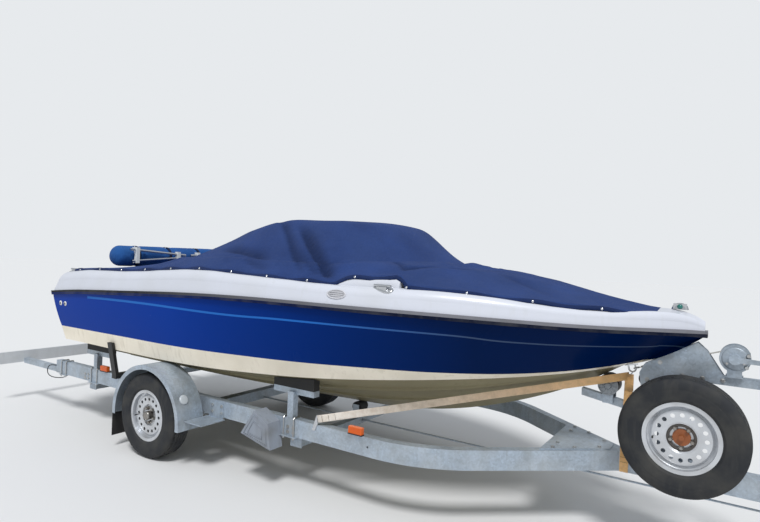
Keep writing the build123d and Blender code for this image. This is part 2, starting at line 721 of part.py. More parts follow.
# Axle tube, swing arms with stub and backplate
axle_top = BEAM_BOTTOM - SEAT_GAP
axle_end = BEAM_OUTER_Y + 4 - SEAT_GAP
axle_low, axle_high = AXLE_TUBE_AHEAD - AXLE_TUBE / 2, AXLE_TUBE_AHEAD + AXLE_TUBE / 2
finish(tube((axle_low, axle_high), (-axle_end, axle_end), (axle_top - AXLE_TUBE, axle_top), 6, 1), "axle_tube")
arm_y = (BEAM_OUTER_Y + 4, BEAM_OUTER_Y + 4 + ARM_THICKNESS)
axle_z = axle_top - AXLE_TUBE / 2
arm = plate_xz(((0, WHEEL_Z - 38), (0, WHEEL_Z + 38), (AXLE_TUBE_AHEAD, axle_z + 38), (AXLE_TUBE_AHEAD, axle_z - 38)), arm_y)
arm += bar((0, arm_y[0], WHEEL_Z), (0, arm_y[1], WHEEL_Z), 38)
arm += bar((AXLE_TUBE_AHEAD, arm_y[0], axle_z), (AXLE_TUBE_AHEAD, arm_y[1], axle_z), 38)
arm += bar((0, arm_y[0] + 5, WHEEL_Z), (0, 1040, WHEEL_Z), STUB_RADIUS)
arm += bar((0, 941, WHEEL_Z), (0, 947, WHEEL_Z), DRUM_RADIUS + 5)
finish(arm + port_side(arm), "swing_arms")


# Wheels
def barrel_profile():
    """Outline of the rim's barrel as (outboard of the wheel plane, radius)."""
    bead, drop = BEAD_RADIUS, BEAD_RADIUS - 18
    flange_in = RIM_HALF_WIDTH - RIM_SHEET
    outside = [(RIM_HALF_WIDTH, bead - RIM_SHEET), (RIM_HALF_WIDTH, FLANGE_RADIUS), (flange_in, FLANGE_RADIUS)]
    outside += [(flange_in, bead), (40, bead), (28, drop)]
    inside = [(43, bead - RIM_SHEET), (31, drop - RIM_SHEET)]
    outside += [(-d, r) for d, r in reversed(outside)]
    return outside + [(-d, r) for d, r in inside] + list(reversed(inside))


def rim(centre, axis):
    """Pressed steel rim whose outboard side looks along axis."""
    edge = BEAD_RADIUS - 18
    face = DISC_OFFSET + BOWL_DEPTH
    disc = [(33, edge), (face - 2, edge - 12), (face, edge - 20), (face, BOWL_RADIUS + 2), (face - 3, BOWL_RADIUS - 2)]
    disc += [(DISC_OFFSET + RIM_SHEET, BOWL_RADIUS - 7), (DISC_OFFSET + RIM_SHEET, HUB_BORE_RADIUS)]
    disc += [(DISC_OFFSET, HUB_BORE_RADIUS), (DISC_OFFSET, BOWL_RADIUS - 4), (face - 8, BOWL_RADIUS + 1)]
    disc += [(face - 5, BOWL_RADIUS + 5), (face - 5, edge - 21), (face - 7, edge - 16), (27, edge - 3)]
    made = turned(barrel_profile(), (0, 0, 0)) + turned(disc, (0, 0, 0))
    for i in range(VENT_COUNT):
        hole = Rot(0, 360 / VENT_COUNT * i, 0) * Pos(VENT_CIRCLE_RADIUS, 0, 0)
        made -= hole * bar((0, face - 12, 0), (0, face + 8, 0), VENT_RADIUS)
    for i in range(STUD_COUNT):
        seat = Rot(0, 360 / STUD_COUNT * i + 90, 0) * Pos(STUD_CIRCLE_RADIUS, 0, 0)
        made += seat * bar((0, DISC_OFFSET + 2, 0), (0, DISC_OFFSET + RIM_SHEET + 14, 0), STUD_RADIUS)
    turn = Rot(0, 0, 0) if axis > 0 else Rot(0, 0, 180)
    return Pos(*centre) * turn * made


def tyre(centre):
    """Tyre on the rim's bead seats."""
    seat, edge = BEAD_RADIUS + SEAT_GAP, RIM_HALF_WIDTH - RIM_SHEET - SEAT_GAP
    outside = [(edge, seat), (edge, FLANGE_RADIUS + 2), (TYRE_HALF_WIDTH - 9, FLANGE_RADIUS + 12)]
    outside += [(TYRE_HALF_WIDTH - 1, 232), (TYRE_HALF_WIDTH, 255), (TYRE_HALF_WIDTH - 3, 280)]
    outside += [(TYRE_HALF_WIDTH - 10, 303), (TYRE_HALF_WIDTH - 22, 319), (TYRE_HALF_WIDTH - 36, TYRE_RADIUS)]
    inside = [(57, seat), (58, 200), (80, 240), (78, 285), (60, 311)]
    profile = outside + [(-d, r) for d, r in reversed(outside)] + [(-d, r) for d, r in inside] + list(reversed(inside))
    return turned(profile, centre)


mount_face = WHEEL_PLANE_Y + DISC_OFFSET
nose = HUB_BORE_RADIUS - SEAT_GAP
bore = STUB_RADIUS + RUNNING_FIT
drum_back = 953
drum_profile = [(drum_back, DRUM_RADIUS), (mount_face - SEAT_GAP, DRUM_RADIUS), (mount_face - SEAT_GAP, nose)]
drum_profile += [(1056, nose), (1062, nose - 6), (1062, 0), (1046, 0), (1046, bore), (962, bore), (962, nose + 8)]
drum_profile += [(mount_face - 14, nose + 8), (mount_face - 14, DRUM_RADIUS - 10), (drum_back, DRUM_RADIUS - 10)]
for name, side in SIDES:
    centre = (0, side * WHEEL_PLANE_Y, WHEEL_Z)
    finish(turned(drum_profile, (0, 0, WHEEL_Z), axis=(0, side, 0)), f"drum_{name}")
    finish(rim(centre, side), f"rim_{name}")
    finish(tyre(centre), f"tyre_{name}")

# Mudguards with their outer lip, held by the step in front and a bracket behind
guard_cut = 285
axis_point = (GUARD_CENTRE_AHEAD, GUARD_INNER_Y, GUARD_CENTRE_Z)
end_point = (GUARD_CENTRE_AHEAD, MUDGUARD_OUTER_Y, GUARD_CENTRE_Z)
lip_point = (GUARD_CENTRE_AHEAD, MUDGUARD_OUTER_Y - GUARD_SHEET, GUARD_CENTRE_Z)
guard = bar(axis_point, end_point, GUARD_RADIUS, GUARD_RADIUS - GUARD_SHEET)
guard += bar(lip_point, end_point, GUARD_RADIUS, GUARD_RADIUS - GUARD_LIP)
guard -= block((-500, 500), (800, 1200), (-200, guard_cut))
finish(guard + port_side(guard), "mudguards")
front_x = GUARD_CENTRE_AHEAD + GUARD_RADIUS + SEAT_GAP
rear_x = GUARD_CENTRE_AHEAD - GUARD_RADIUS - SEAT_GAP
beam_side = BEAM_OUTER_Y + SEAT_GAP
step = block((front_x, front_x + STEP_LENGTH), (beam_side, 1050), (354, 360))
step += block((front_x, front_x + PLATE), (GUARD_INNER_Y, 1050), (290, 360))
step += block((front_x + 20, front_x + STEP_LENGTH - 20), (beam_side, beam_side + PLATE), (354, 470))
bracket = block((rear_x - PLATE, rear_x), (beam_side, 1000), (290, 380))
bracket += block((rear_x - 90, rear_x), (beam_side, beam_side + PLATE), (290, 450))
finish(step + bracket + port_side(step + bracket), "guard_brackets")
flap_x = rear_x - PLATE - SEAT_GAP
flap = block((flap_x - FLAP_SHEET, flap_x), (900, 1090), (FLAP_BOTTOM_Z, 300))
finish(flap + port_side(flap), "mud_flaps")

# Bunk supports on the beams, with pads that the hull rests on
supports, pads = Part(), Part()
for x in BUNK_AHEAD:
    dx, dy = BUNK_LENGTH / 2, 30
    seat = seat_plane(hull.part, x, BUNK_Y, dx, dy)
    lowest = min(bottom_of(hull.part, x + i * dx, BUNK_Y + j * dy) for i in (-1, 1) for j in (-1, 1))
    bar_top = lowest - BUNK_PAD
    pad = block((x - dx, x + dx), (BUNK_Y - dy, BUNK_Y + dy), (bar_top + SEAT_GAP, bar_top + 200))
    pads += split(pad, bisect_by=seat, keep=Keep.BOTTOM)
    supports += block((x - dx, x + dx), (BUNK_Y - dy, BUNK_Y + dy), (bar_top - 40, bar_top))
    post_half = BUNK_POST / 2
    supports += block(
        (x - post_half, x + post_half),
        (BEAM_CENTRE_Y - post_half, BEAM_CENTRE_Y + post_half),
        (BEAM_TOP + SEAT_GAP, bar_top - 20),
    )
finish(supports + port_side(supports), "bunk_supports")

# Cradle: arms over the beams, rubber pads under the hull and leaning side posts
arm_x = (CRADLE_AHEAD - 30, CRADLE_AHEAD + 30)
arm_top = BEAM_TOP + SEAT_GAP + CRADLE_TUBE
post_foot = SIDE_POST_FOOT_Y
cradle = block(arm_x, (CRADLE_INNER_Y, post_foot + SIDE_POST), (BEAM_TOP + SEAT_GAP, arm_top))
lean = SIDE_POST_LEAN * (SIDE_POST_TOP_Z - arm_top)
cradle += plate_yz(
    (
        (post_foot, arm_top - 5),
        (post_foot + lean, SIDE_POST_TOP_Z),
        (post_foot + lean + SIDE_POST, SIDE_POST_TOP_Z),
        (post_foot + SIDE_POST, arm_top - 5),
    ),
    arm_x,
)
finish(cradle + port_side(cradle), "cradle")
seat = seat_plane(hull.part, CRADLE_AHEAD, CRADLE_INNER_Y + 35, 28, 30)
cradle_pad = block(
    (CRADLE_AHEAD - 28, CRADLE_AHEAD + 28), (CRADLE_INNER_Y + 5, CRADLE_INNER_Y + 65), (arm_top + SEAT_GAP, arm_top + 150)
)
cradle_pad = split(cradle_pad, bisect_by=seat, keep=Keep.BOTTOM)
pads += cradle_pad
finish(pads + port_side(pads), "hull_pads")

# Keel rollers, on plates on the cross members
rollers = Part()
for x in CROSS_AHEAD:
    z = min(bottom_of(hull.part, x + dx, 0) for dx in (-20, 0, 20)) - KEEL_ROLLER_RADIUS - SEAT_GAP
    half = KEEL_ROLLER_LENGTH / 2
    pin_bore = ROLLER_PIN_RADIUS + SEAT_GAP
    rollers += turned(
        (
            (-half, pin_bore),
            (-half, KEEL_ROLLER_RADIUS),
            (half, KEEL_ROLLER_RADIUS),
            (half, pin_bore),
        ),
        (x, 0, z),
    )
    for side in (-1, 1):
        cross_members += block((x - 28, x + 28), sorted((side * 56, side * 62)), (CROSS_TOP - 2, z + 22))
    cross_members += bar((x, -60, z), (x, 60, z), ROLLER_PIN_RADIUS)
finish(cross_members, "cross_members")

# Bow roller on its arm
slope = math.atan2(
    bottom_of(hull.part, BOW_ROLLER_AHEAD + 20, 0) - bottom_of(hull.part, BOW_ROLLER_AHEAD - 20, 0), 40
)
roller_z = bottom_of(hull.part, BOW_ROLLER_AHEAD, 0) - (BOW_ROLLER_RADIUS + 2 * SEAT_GAP) / math.cos(slope)
pin_bore = ROLLER_PIN_RADIUS + SEAT_GAP
roller_profile = ((-44, pin_bore), (-44, BOW_ROLLER_RADIUS), (44, BOW_ROLLER_RADIUS), (44, pin_bore))
rollers += turned(roller_profile, (BOW_ROLLER_AHEAD, 0, roller_z))
arm_rear, arm_front = BOW_ROLLER_AHEAD - 162, BOW_ROLLER_AHEAD + 338
roller_arm = plate_xz(((arm_rear, 790), (arm_rear, 834), (arm_front, 748), (arm_front, 704)), (-25, 25))
roller_arm += block((arm_front - 60, arm_front), (-30, 30), (BEAM_TOP + SEAT_GAP, 745))
roller_arm += block((BOW_ROLLER_AHEAD - 30, BOW_ROLLER_AHEAD + 30), (-56, 56), (770, 800))
for side in (-1, 1):
    roller_arm += block(
        (BOW_ROLLER_AHEAD - 30, BOW_ROLLER_AHEAD + 30), sorted((side * 50, side * 56)), (770, roller_z + 24)
    )
roller_arm += bar((BOW_ROLLER_AHEAD, -54, roller_z), (BOW_ROLLER_AHEAD, 54, roller_z), ROLLER_PIN_RADIUS)
finish(roller_arm, "bow_roller_arm")

# Winch stand: post, tube on top, and the two plates that carry the bow stop
half = STAND_POST / 2
tube_half = STAND_TUBE / 2
tube_low = STAND_TUBE_TOP - STAND_TUBE
stand = block((STAND_AHEAD - half, STAND_AHEAD + half), (-half, half), (BEAM_TOP + SEAT_GAP, tube_low + 5))
stand += tube(
    (STAND_TUBE_REAR_AHEAD, STAND_AHEAD + half + 10), (-tube_half, tube_half), (tube_low, STAND_TUBE_TOP), 4, 0
)
# ahead of the bow stop, z
STOP_PLATE = (
    (-20, 1035),
    (255, 1195),
    (305, 1150),
    (420, 972),
    (85, 975),
    (35, 900),
    (-35, 905),
    (-45, 980),
)
stop_outline = [(BOW_STOP_AHEAD + dx, z) for dx, z in STOP_PLATE]
for side in (-1, 1):
    stand += plate_xz(stop_outline, sorted((side * tube_half, side * (tube_half + 5))))
stand += bar((BOW_STOP_AHEAD, -tube_half - 2, BOW_STOP_Z), (BOW_STOP_AHEAD, tube_half + 2, BOW_STOP_Z), ROLLER_PIN_RADIUS)
finish(stand, "winch_stand")
stop_half = tube_half - 2
stop_profile = (
    (-stop_half, pin_bore),
    (-stop_half, BOW_STOP_RADIUS),
    (stop_half, BOW_STOP_RADIUS),
    (stop_half, pin_bore),
)
rollers += turned(stop_profile, (BOW_STOP_AHEAD, 0, BOW_STOP_Z))
finish(rollers, "rollers")

# Winch
winch_base = STAND_TUBE_TOP + SEAT_GAP
winch = block((WINCH_AHEAD - 42, WINCH_AHEAD + 42), (-WINCH_HALF_WIDTH, WINCH_HALF_WIDTH), (winch_base, winch_base + PLATE))
for side in (-1, 1):
    y = sorted((side * (WINCH_HALF_WIDTH - PLATE), side * WINCH_HALF_WIDTH))
    winch += block((WINCH_AHEAD - 36, WINCH_AHEAD + 36), y, (winch_base, WINCH_Z))
    winch += bar((WINCH_AHEAD, y[0], WINCH_Z), (WINCH_AHEAD, y[1], WINCH_Z), WINCH_DISC_RADIUS)
winch += bar((WINCH_AHEAD, -WINCH_HALF_WIDTH - 30, WINCH_Z), (WINCH_AHEAD, WINCH_HALF_WIDTH, WINCH_Z), WINCH_DRUM_RADIUS)
crank_y = (-WINCH_HALF_WIDTH - 30, -WINCH_HALF_WIDTH - 22)
crank_rear, crank_front = WINCH_AHEAD - 16, WINCH_AHEAD + 187
winch += plate_xz(((crank_rear, 1110), (crank_rear, 1142), (crank_front, 1128), (crank_front, 1108)), crank_y)
winch += bar((crank_front - 12, crank_y[1], 1118), (crank_front - 12, crank_y[0] - 95, 1118), 13)
finish(winch, "winch")

# Bow eye on the stem
eye_x = BOW_EYE_AHEAD
stem_low = Vector(eye_x - 20, 0, bottom_of(hull.part, eye_x - 20, 0))
stem_high = Vector(eye_x + 20, 0, bottom_of(hull.part, eye_x + 20, 0))
up_stem = (stem_high - stem_low).normalized()
off_stem = Vector(up_stem.Z, 0, -up_stem.X)
stem_middle = Vector(eye_x, 0, bottom_of(hull.part, eye_x, 0))
bulge = 0
for dx in (-EYE_PLATE_LENGTH / 2, -EYE_PLATE_LENGTH / 4, 0, EYE_PLATE_LENGTH / 4, EYE_PLATE_LENGTH / 2):
    for y in (0, EYE_PLATE_WIDTH / 4, EYE_PLATE_WIDTH / 2):
        under = Vector(eye_x + dx, y, bottom_of(hull.part, eye_x + dx, y))
        bulge = max(bulge, (under - stem_middle).dot(off_stem))
stem_point = stem_middle + off_stem * (bulge + SEAT_GAP)
eye_plane = Plane(origin=stem_point, x_dir=up_stem, z_dir=off_stem)
bow_eye = extrude(eye_plane * Rectangle(EYE_PLATE_LENGTH, EYE_PLATE_WIDTH), amount=5)
for sign in (-1, 1):
    foot = stem_point + up_stem * (sign * EYE_BOLT_RADIUS_IN) + off_stem * 2
    bow_eye += bar(foot, foot + off_stem * 24, EYE_BOLT_RADIUS)
loop_centre = stem_point + off_stem * 26
loop = Solid.make_torus(EYE_BOLT_RADIUS_IN, EYE_BOLT_RADIUS, Plane(origin=loop_centre, z_dir=(0, 1, 0)))
bow_eye += split(Part() + loop, bisect_by=Plane(origin=loop_centre, z_dir=off_stem))
finish(bow_eye, "bow_eye")

# Winch strap: turns on the drum and the taut run down to a link in the bow eye
to_drum = Vector(WINCH_AHEAD, 0, WINCH_Z) - loop_centre
turn = math.atan2(to_drum.Z, to_drum.X) + math.asin(STRAP_WOUND_RADIUS / to_drum.length)
run = math.sqrt(to_drum.length**2 - STRAP_WOUND_RADIUS**2)
strap_half = STRAP_WIDTH / 2
pull = Vector(math.cos(turn), 0, math.sin(turn))
link_out = EYE_BOLT_RADIUS_IN - EYE_BOLT_RADIUS - LINK_BAR_RADIUS - SEAT_GAP + LINK_RADIUS
strap_start = link_out + LINK_RADIUS + LINK_BAR_RADIUS + SEAT_GAP
link_plane = Plane(origin=loop_centre + pull * link_out, x_dir=(0, 1, 0), z_dir=pull.cross(Vector(0, 1, 0)))
strap = extrude(
    Plane(origin=loop_centre + pull * strap_start, x_dir=(0, 1, 0), z_dir=pull)
    * Pos(0, -STRAP_THICKNESS / 2)
    * Rectangle(STRAP_WIDTH, STRAP_THICKNESS),
    amount=run - strap_start,
)
strap += bar(
    (WINCH_AHEAD, -strap_half, WINCH_Z),
    (WINCH_AHEAD, strap_half, WINCH_Z),
    STRAP_WOUND_RADIUS,
    WINCH_DRUM_RADIUS + SEAT_GAP,
)
finish(strap, "winch_strap")

# Tie-down strap with its hooks: on the beam's side, under the bow eye and round the drawbar
tie_y = -BEAM_OUTER_Y - SEAT_GAP - PLATE / 2
loop_out = DRAWBAR_WIDTH / 2 + SEAT_GAP
corner = Vector(eye_x, -loop_out - TIE_THICKNESS / 2, loop_centre.Z - 40)
foot = Vector(TIE_HOOK_AHEAD, tie_y, TIE_HOOK_Z)
along_tie = (corner - foot).normalized()
across_tie = (Vector(0, 0, 1) - along_tie * along_tie.Z).normalized()
tie = extrude(
    Plane(origin=foot, x_dir=across_tie, z_dir=along_tie) * Rectangle(TIE_WIDTH, TIE_THICKNESS),
    amount=(corner - foot).length + 4,
)
tie_half = TIE_WIDTH / 2
loop_x = (TIE_LOOP_AHEAD - tie_half, TIE_LOOP_AHEAD + tie_half)
down = ((loop_x[0], 400), (loop_x[1], 400), (corner.X + tie_half, corner.Z + 16), (corner.X - tie_half, corner.Z + 16))
tie += plate_xz(down, (-loop_out - TIE_THICKNESS, -loop_out))
outer_loop = loop_out + TIE_THICKNESS
tie += block(loop_x, (-outer_loop, outer_loop), (BEAM_BOTTOM - SEAT_GAP - TIE_THICKNESS, BEAM_TOP + SEAT_GAP + TIE_THICKNESS))
tie -= block(
    (loop_x[0] - 1, loop_x[1] + 1), (-loop_out, loop_out), (BEAM_BOTTOM - SEAT_GAP, BEAM_TOP + SEAT_GAP)
)
finish(tie, "tie_strap")
hook_z = loop_centre.Z - (EYE_BOLT_RADIUS_IN + EYE_BOLT_RADIUS + SEAT_GAP + LINK_BAR_RADIUS)
links = Part() + Solid.make_torus(LINK_RADIUS, LINK_BAR_RADIUS, link_plane)
links += bar((loop_centre.X, 12, hook_z), (loop_centre.X, -loop_out + SEAT_GAP, hook_z), LINK_BAR_RADIUS)
hook_y = (-BEAM_OUTER_Y - SEAT_GAP - PLATE, -BEAM_OUTER_Y - SEAT_GAP)
links += plate_xz(
    (
        (TIE_HOOK_AHEAD - 44, BEAM_TOP - 40),
        (TIE_HOOK_AHEAD - 20, BEAM_TOP - 40),
        (TIE_HOOK_AHEAD + 3, TIE_HOOK_Z - 28),
        (TIE_HOOK_AHEAD - 8, TIE_HOOK_Z + 28),
    ),
    hook_y,
)
finish(links, "strap_link")

# Spare wheel and its carrier on the drawbar
spare_centre = (SPARE_AHEAD, SPARE_PLANE_Y, SPARE_Z)
finish(rim(spare_centre, -1), "spare_rim")
finish(tyre(spare_centre), "spare_tyre")
spare_face = SPARE_PLANE_Y - DISC_OFFSET
carrier = block((SPARE_AHEAD - 25, SPARE_AHEAD + 25), (-25, 25), (BEAM_TOP + SEAT_GAP, SPARE_Z + 40))
carrier += bar((SPARE_AHEAD, -20, SPARE_Z), (SPARE_AHEAD, spare_face + 10, SPARE_Z), 30)
carrier += bar((SPARE_AHEAD, spare_face + 12, SPARE_Z), (SPARE_AHEAD, spare_face + SEAT_GAP, SPARE_Z), 70)
finish(carrier, "spare_carrier")
cap_back = spare_face - RIM_SHEET - SEAT_GAP
cap = bar((SPARE_AHEAD, cap_back, SPARE_Z), (SPARE_AHEAD, cap_back - 12, SPARE_Z), 45)
cap += bar((SPARE_AHEAD, cap_back - 1, SPARE_Z), (SPARE_AHEAD, spare_face, SPARE_Z), 20)
cap += bar((SPARE_AHEAD, cap_back - 10, SPARE_Z), (SPARE_AHEAD, cap_back - 30, SPARE_Z), 14)
finish(cap, "spare_cap")

# Overrun coupling: flange and housing, shaft, gaiter and ball head
flange_x = DRAWBAR_FRONT_AHEAD + SEAT_GAP
housing_front = DRAWBAR_FRONT_AHEAD + HOUSING_LENGTH
coupling = block((flange_x, flange_x + 12), (-50, 50), (BEAM_BOTTOM, BEAM_TOP))
coupling += block((flange_x + 10, housing_front), (-38, 38), (BEAM_CENTRE_Z - 38, BEAM_CENTRE_Z + 38))
coupling += bar((housing_front - 10, 0, BEAM_CENTRE_Z), (HEAD_REAR_AHEAD - SEAT_GAP, 0, BEAM_CENTRE_Z), SHAFT_RADIUS)
finish(coupling, "overrun_coupling")
gaiter_profile = [(housing_front + SEAT_GAP, SHAFT_RADIUS + SEAT_GAP), (housing_front + SEAT_GAP, GAITER_RADIUS)]
for i in range(1, 10):
    gaiter_profile.append((housing_front + 17 * i, GAITER_RADIUS - (8 if i % 2 else 0)))
gaiter_profile += [(HEAD_REAR_AHEAD - 2, GAITER_RADIUS - 8), (HEAD_REAR_AHEAD - 2, SHAFT_RADIUS + SEAT_GAP)]
finish(turned(gaiter_profile, (0, 0, BEAM_CENTRE_Z), axis=(1, 0, 0), across=(0, 1, 0)), "coupling_gaiter")
# ahead of the head's rear end, above the drawbar's middle
HEAD_SIDE = ((0, -30), (0, 32), (100, 38), (160, 60), (235, 54), (HEAD_LENGTH, 20), (HEAD_LENGTH, -34), (150, -34))
HANDLE_SIDE = ((60, 30), (60, 50), (140, 90), (220, 90), (220, 78), (160, 70), (150, 50))


def head_plate(points, half_width):
    """Plate of the ball head from points measured from its rear end and the drawbar's middle."""
    return plate_xz([(HEAD_REAR_AHEAD + dx, BEAM_CENTRE_Z + up) for dx, up in points], (-half_width, half_width))


head = head_plate(HEAD_SIDE, 40)
head -= bar((BALL_AHEAD, 0, BALL_Z - 60), (BALL_AHEAD, 0, BALL_Z), BALL_RADIUS + SEAT_GAP)
head -= Pos(BALL_AHEAD, 0, BALL_Z) * Sphere(BALL_RADIUS + SEAT_GAP)
head += head_plate(HANDLE_SIDE, 14)
finish(head, "coupling_head")

# Handbrake lever on the side of the housing
lever_x = DRAWBAR_FRONT_AHEAD + 50
lever = bar((lever_x, -38 - SEAT_GAP, BEAM_CENTRE_Z), (lever_x, -66, BEAM_CENTRE_Z), 14)
lever += plate_xz(((lever_x - 16, 415), (lever_x - 32, 640), (lever_x - 12, 640), (lever_x + 16, 415)), (-68, -58))
lever += bar((lever_x - 22, -63, 630), (lever_x - 30, -63, 750), 15)
finish(lever, "handbrake_lever")

# Jockey wheel: clamped outer tube, inner tube that slides in it, fork and wheel
at_jockey = (JOCKEY_AHEAD, JOCKEY_Y)
sleeve = JOCKEY_TUBE_RADIUS - JOCKEY_TUBE_WALL
outer = bar((*at_jockey, JOCKEY_TUBE_BOTTOM), (*at_jockey, JOCKEY_TUBE_TOP), JOCKEY_TUBE_RADIUS)
outer += block((JOCKEY_AHEAD - 30, JOCKEY_AHEAD + 30), (JOCKEY_Y, -DRAWBAR_WIDTH / 2 - SEAT_GAP), (400, 460))
outer += bar((*at_jockey, JOCKEY_TUBE_TOP - 2), (*at_jockey, JOCKEY_TUBE_TOP + 26), 12)
outer += bar((JOCKEY_AHEAD, JOCKEY_Y, JOCKEY_TUBE_TOP + 18), (JOCKEY_AHEAD + 110, JOCKEY_Y, JOCKEY_TUBE_TOP + 18), 7)
outer += bar((JOCKEY_AHEAD + 104, JOCKEY_Y, JOCKEY_TUBE_TOP + 14), (JOCKEY_AHEAD + 104, JOCKEY_Y, JOCKEY_TUBE_TOP + 90), 13)
outer -= bar((*at_jockey, JOCKEY_TUBE_BOTTOM - 1), (*at_jockey, JOCKEY_TUBE_TOP - 6), sleeve)
finish(outer, "jockey_outer")
inner_radius = sleeve - JOCKEY_FIT
inner_bottom = JOCKEY_FORK_TOP + 4
inner = bar((*at_jockey, inner_bottom), (*at_jockey, JOCKEY_INNER_TOP), inner_radius)
inner += bar((*at_jockey, inner_bottom - 30), (*at_jockey, inner_bottom + 5), 10)
finish(inner, "jockey_inner")
hub_x = JOCKEY_AHEAD - JOCKEY_TRAIL
cheek_y = JOCKEY_WHEEL_WIDTH / 2 + 5
fork = block(
    (hub_x - 20, JOCKEY_AHEAD + 30), (JOCKEY_Y - cheek_y - 5, JOCKEY_Y + cheek_y + 5), (JOCKEY_FORK_TOP - 12, JOCKEY_FORK_TOP)
)
for side in (-1, 1):
    y = sorted((JOCKEY_Y + side * cheek_y, JOCKEY_Y + side * (cheek_y + 5)))
    fork += plate_xz(
        ((hub_x - 18, 84), (hub_x - 20, JOCKEY_FORK_TOP), (JOCKEY_AHEAD + 30, JOCKEY_FORK_TOP), (hub_x + 18, 84)), y
    )
fork += bar((hub_x, JOCKEY_Y - cheek_y - 2, JOCKEY_WHEEL_RADIUS), (hub_x, JOCKEY_Y + cheek_y + 2, JOCKEY_WHEEL_RADIUS), 8)
fork -= bar((*at_jockey, 150), (*at_jockey, 260), 10 + 0.4)
finish(fork, "jockey_fork")
wheel_half = JOCKEY_WHEEL_WIDTH / 2
wheel_profile = (
    (-wheel_half, 8 + RUNNING_FIT),
    (-wheel_half, 30),
    (-wheel_half + 8, 34),
    (-wheel_half + 8, 70),
    (-wheel_half, 74),
    (-wheel_half, 92),
    (-wheel_half + 9, JOCKEY_WHEEL_RADIUS),
    (wheel_half - 9, JOCKEY_WHEEL_RADIUS),
    (wheel_half, 92),
    (wheel_half, 74),
    (wheel_half - 8, 70),
    (wheel_half - 8, 34),
    (wheel_half, 30),
    (wheel_half, 8 + RUNNING_FIT),
)
finish(turned(wheel_profile, (hub_x, JOCKEY_Y, JOCKEY_WHEEL_RADIUS)), "jockey_wheel")

# Light board on two tubes that slide in the beams
board_back = LAMP_FACE_AHEAD + LAMP_DEPTH + SEAT_GAP
board_front = board_back + BOARD_DEPTH
board_z = (BOARD_BOTTOM, BOARD_BOTTOM + BOARD_HEIGHT)
board = block((board_back, board_front), (-BOARD_HALF_WIDTH, BOARD_HALF_WIDTH), board_z)
board += block((board_back - PLATE_PANEL_DEPTH, board_back), (-PLATE_PANEL_HALF, PLATE_PANEL_HALF), board_z)
finish(board, "light_board")
lamps = Part()
for side in (-1, 1):
    outer_y = side * (BOARD_HALF_WIDTH - 10)
    lamps += block(
        (LAMP_FACE_AHEAD, board_back - SEAT_GAP),
        sorted((outer_y, outer_y - side * LAMP_WIDTH)),
        (BOARD_BOTTOM + 10, BOARD_BOTTOM + BOARD_HEIGHT - 10),
    )
finish(lamps, "rear_lamps")
inside = BEAM_WIDTH / 2 - BEAM_WALL - SEAT_GAP
tubes = Part()
for side in (-1, 1):
    middle = side * BEAM_CENTRE_Y
    tube_bottom = BEAM_BOTTOM + BEAM_WALL + SEAT_GAP
    tubes += block(
        (board_front + SEAT_GAP, BOARD_TUBE_FRONT_AHEAD), (middle - inside, middle + inside), (tube_bottom, tube_bottom + 50)
    )
finish(tubes, "board_tubes")
on_tube = tube_bottom + 50 + SEAT_GAP + CABLE_RADIUS
under_beam = BEAM_BOTTOM - SEAT_GAP
cable_path = FilletPolyline(
    (BEAM_REAR_AHEAD + 70, -BEAM_CENTRE_Y, on_tube),
    (BEAM_REAR_AHEAD - 40, -BEAM_CENTRE_Y, on_tube),
    (BEAM_REAR_AHEAD - 85, -BEAM_OUTER_Y - 42, on_tube + 8),
    (BEAM_REAR_AHEAD - 80, -BEAM_OUTER_Y - 42, 322),
    (CABLE_HOLE_AHEAD - 45, -BEAM_CENTRE_Y - 8, 322),
    (CABLE_HOLE_AHEAD, -BEAM_CENTRE_Y, under_beam - CABLE_RADIUS),
    radius=CABLE_BEND,
)
cable = sweep(Plane(origin=cable_path @ 0, z_dir=cable_path % 0) * Circle(CABLE_RADIUS), path=cable_path)
finish(cable, "light_cable")

# Brake rod to the axle with its hanger, chock on the starboard beam, side markers and lashing plates
rod_rear = axle_high + SEAT_GAP
rod = bar((rod_rear, 0, ROD_Z), (ROD_FRONT_AHEAD, 0, ROD_Z), ROD_RADIUS)
rod += block((ROD_FRONT_AHEAD - 20, ROD_FRONT_AHEAD), (-20, 20), (ROD_Z - 15, BEAM_BOTTOM - SEAT_GAP))
finish(rod, "brake_rod")
finish(plate_xz(CHOCK, (-BEAM_OUTER_Y - 120, -BEAM_OUTER_Y - SEAT_GAP)), "wheel_chock")
markers = Part()
for x in MARKER_AHEAD:
    for side in (-1, 1):
        markers += block(
            (x - 50, x + 50), (side * BEAM_OUTER_Y - 15, side * BEAM_OUTER_Y + 15), (BEAM_TOP + SEAT_GAP, BEAM_TOP + 50)
        )
finish(markers, "marker_lamps")

# Deck fittings
light_rear, light_front = BOW_AHEAD - 167, BOW_AHEAD - 97
bow_light_z = max(top_of(deck.part, x, 0) for x in (light_rear, light_front)) + SEAT_GAP
finish(block((light_rear, light_front), (-16, 16), (bow_light_z, bow_light_z + 34)), "bow_light")
cleats = Part()
for x, inset in CLEATS:
    side_z = top_of(whole_deck.part, x, 0) - CLEAT_SIDE_BELOW
    y = surface_points(whole_deck.part, (x, 0, side_z), (0, 1, 0))[-1].Y - inset
    z = top_of(whole_deck.part, x, y)
    cleats += block((x - 35, x + 35), (y - 14, y + 14), (z - 20, z + 14))
    cleats += bar((x - 60, y, z + 20), (x + 60, y, z + 20), 8)
cleats -= deck_room
finish(cleats + port_side(cleats), "cleats")
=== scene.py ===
"""Dresses a motor boat on its road trailer: finishes, canvas, tread, webbing and fittings over the frame."""

import math
from itertools import product

import bmesh
import bpy
from mathutils import Matrix, Vector
from mathutils.bvhtree import BVHTree


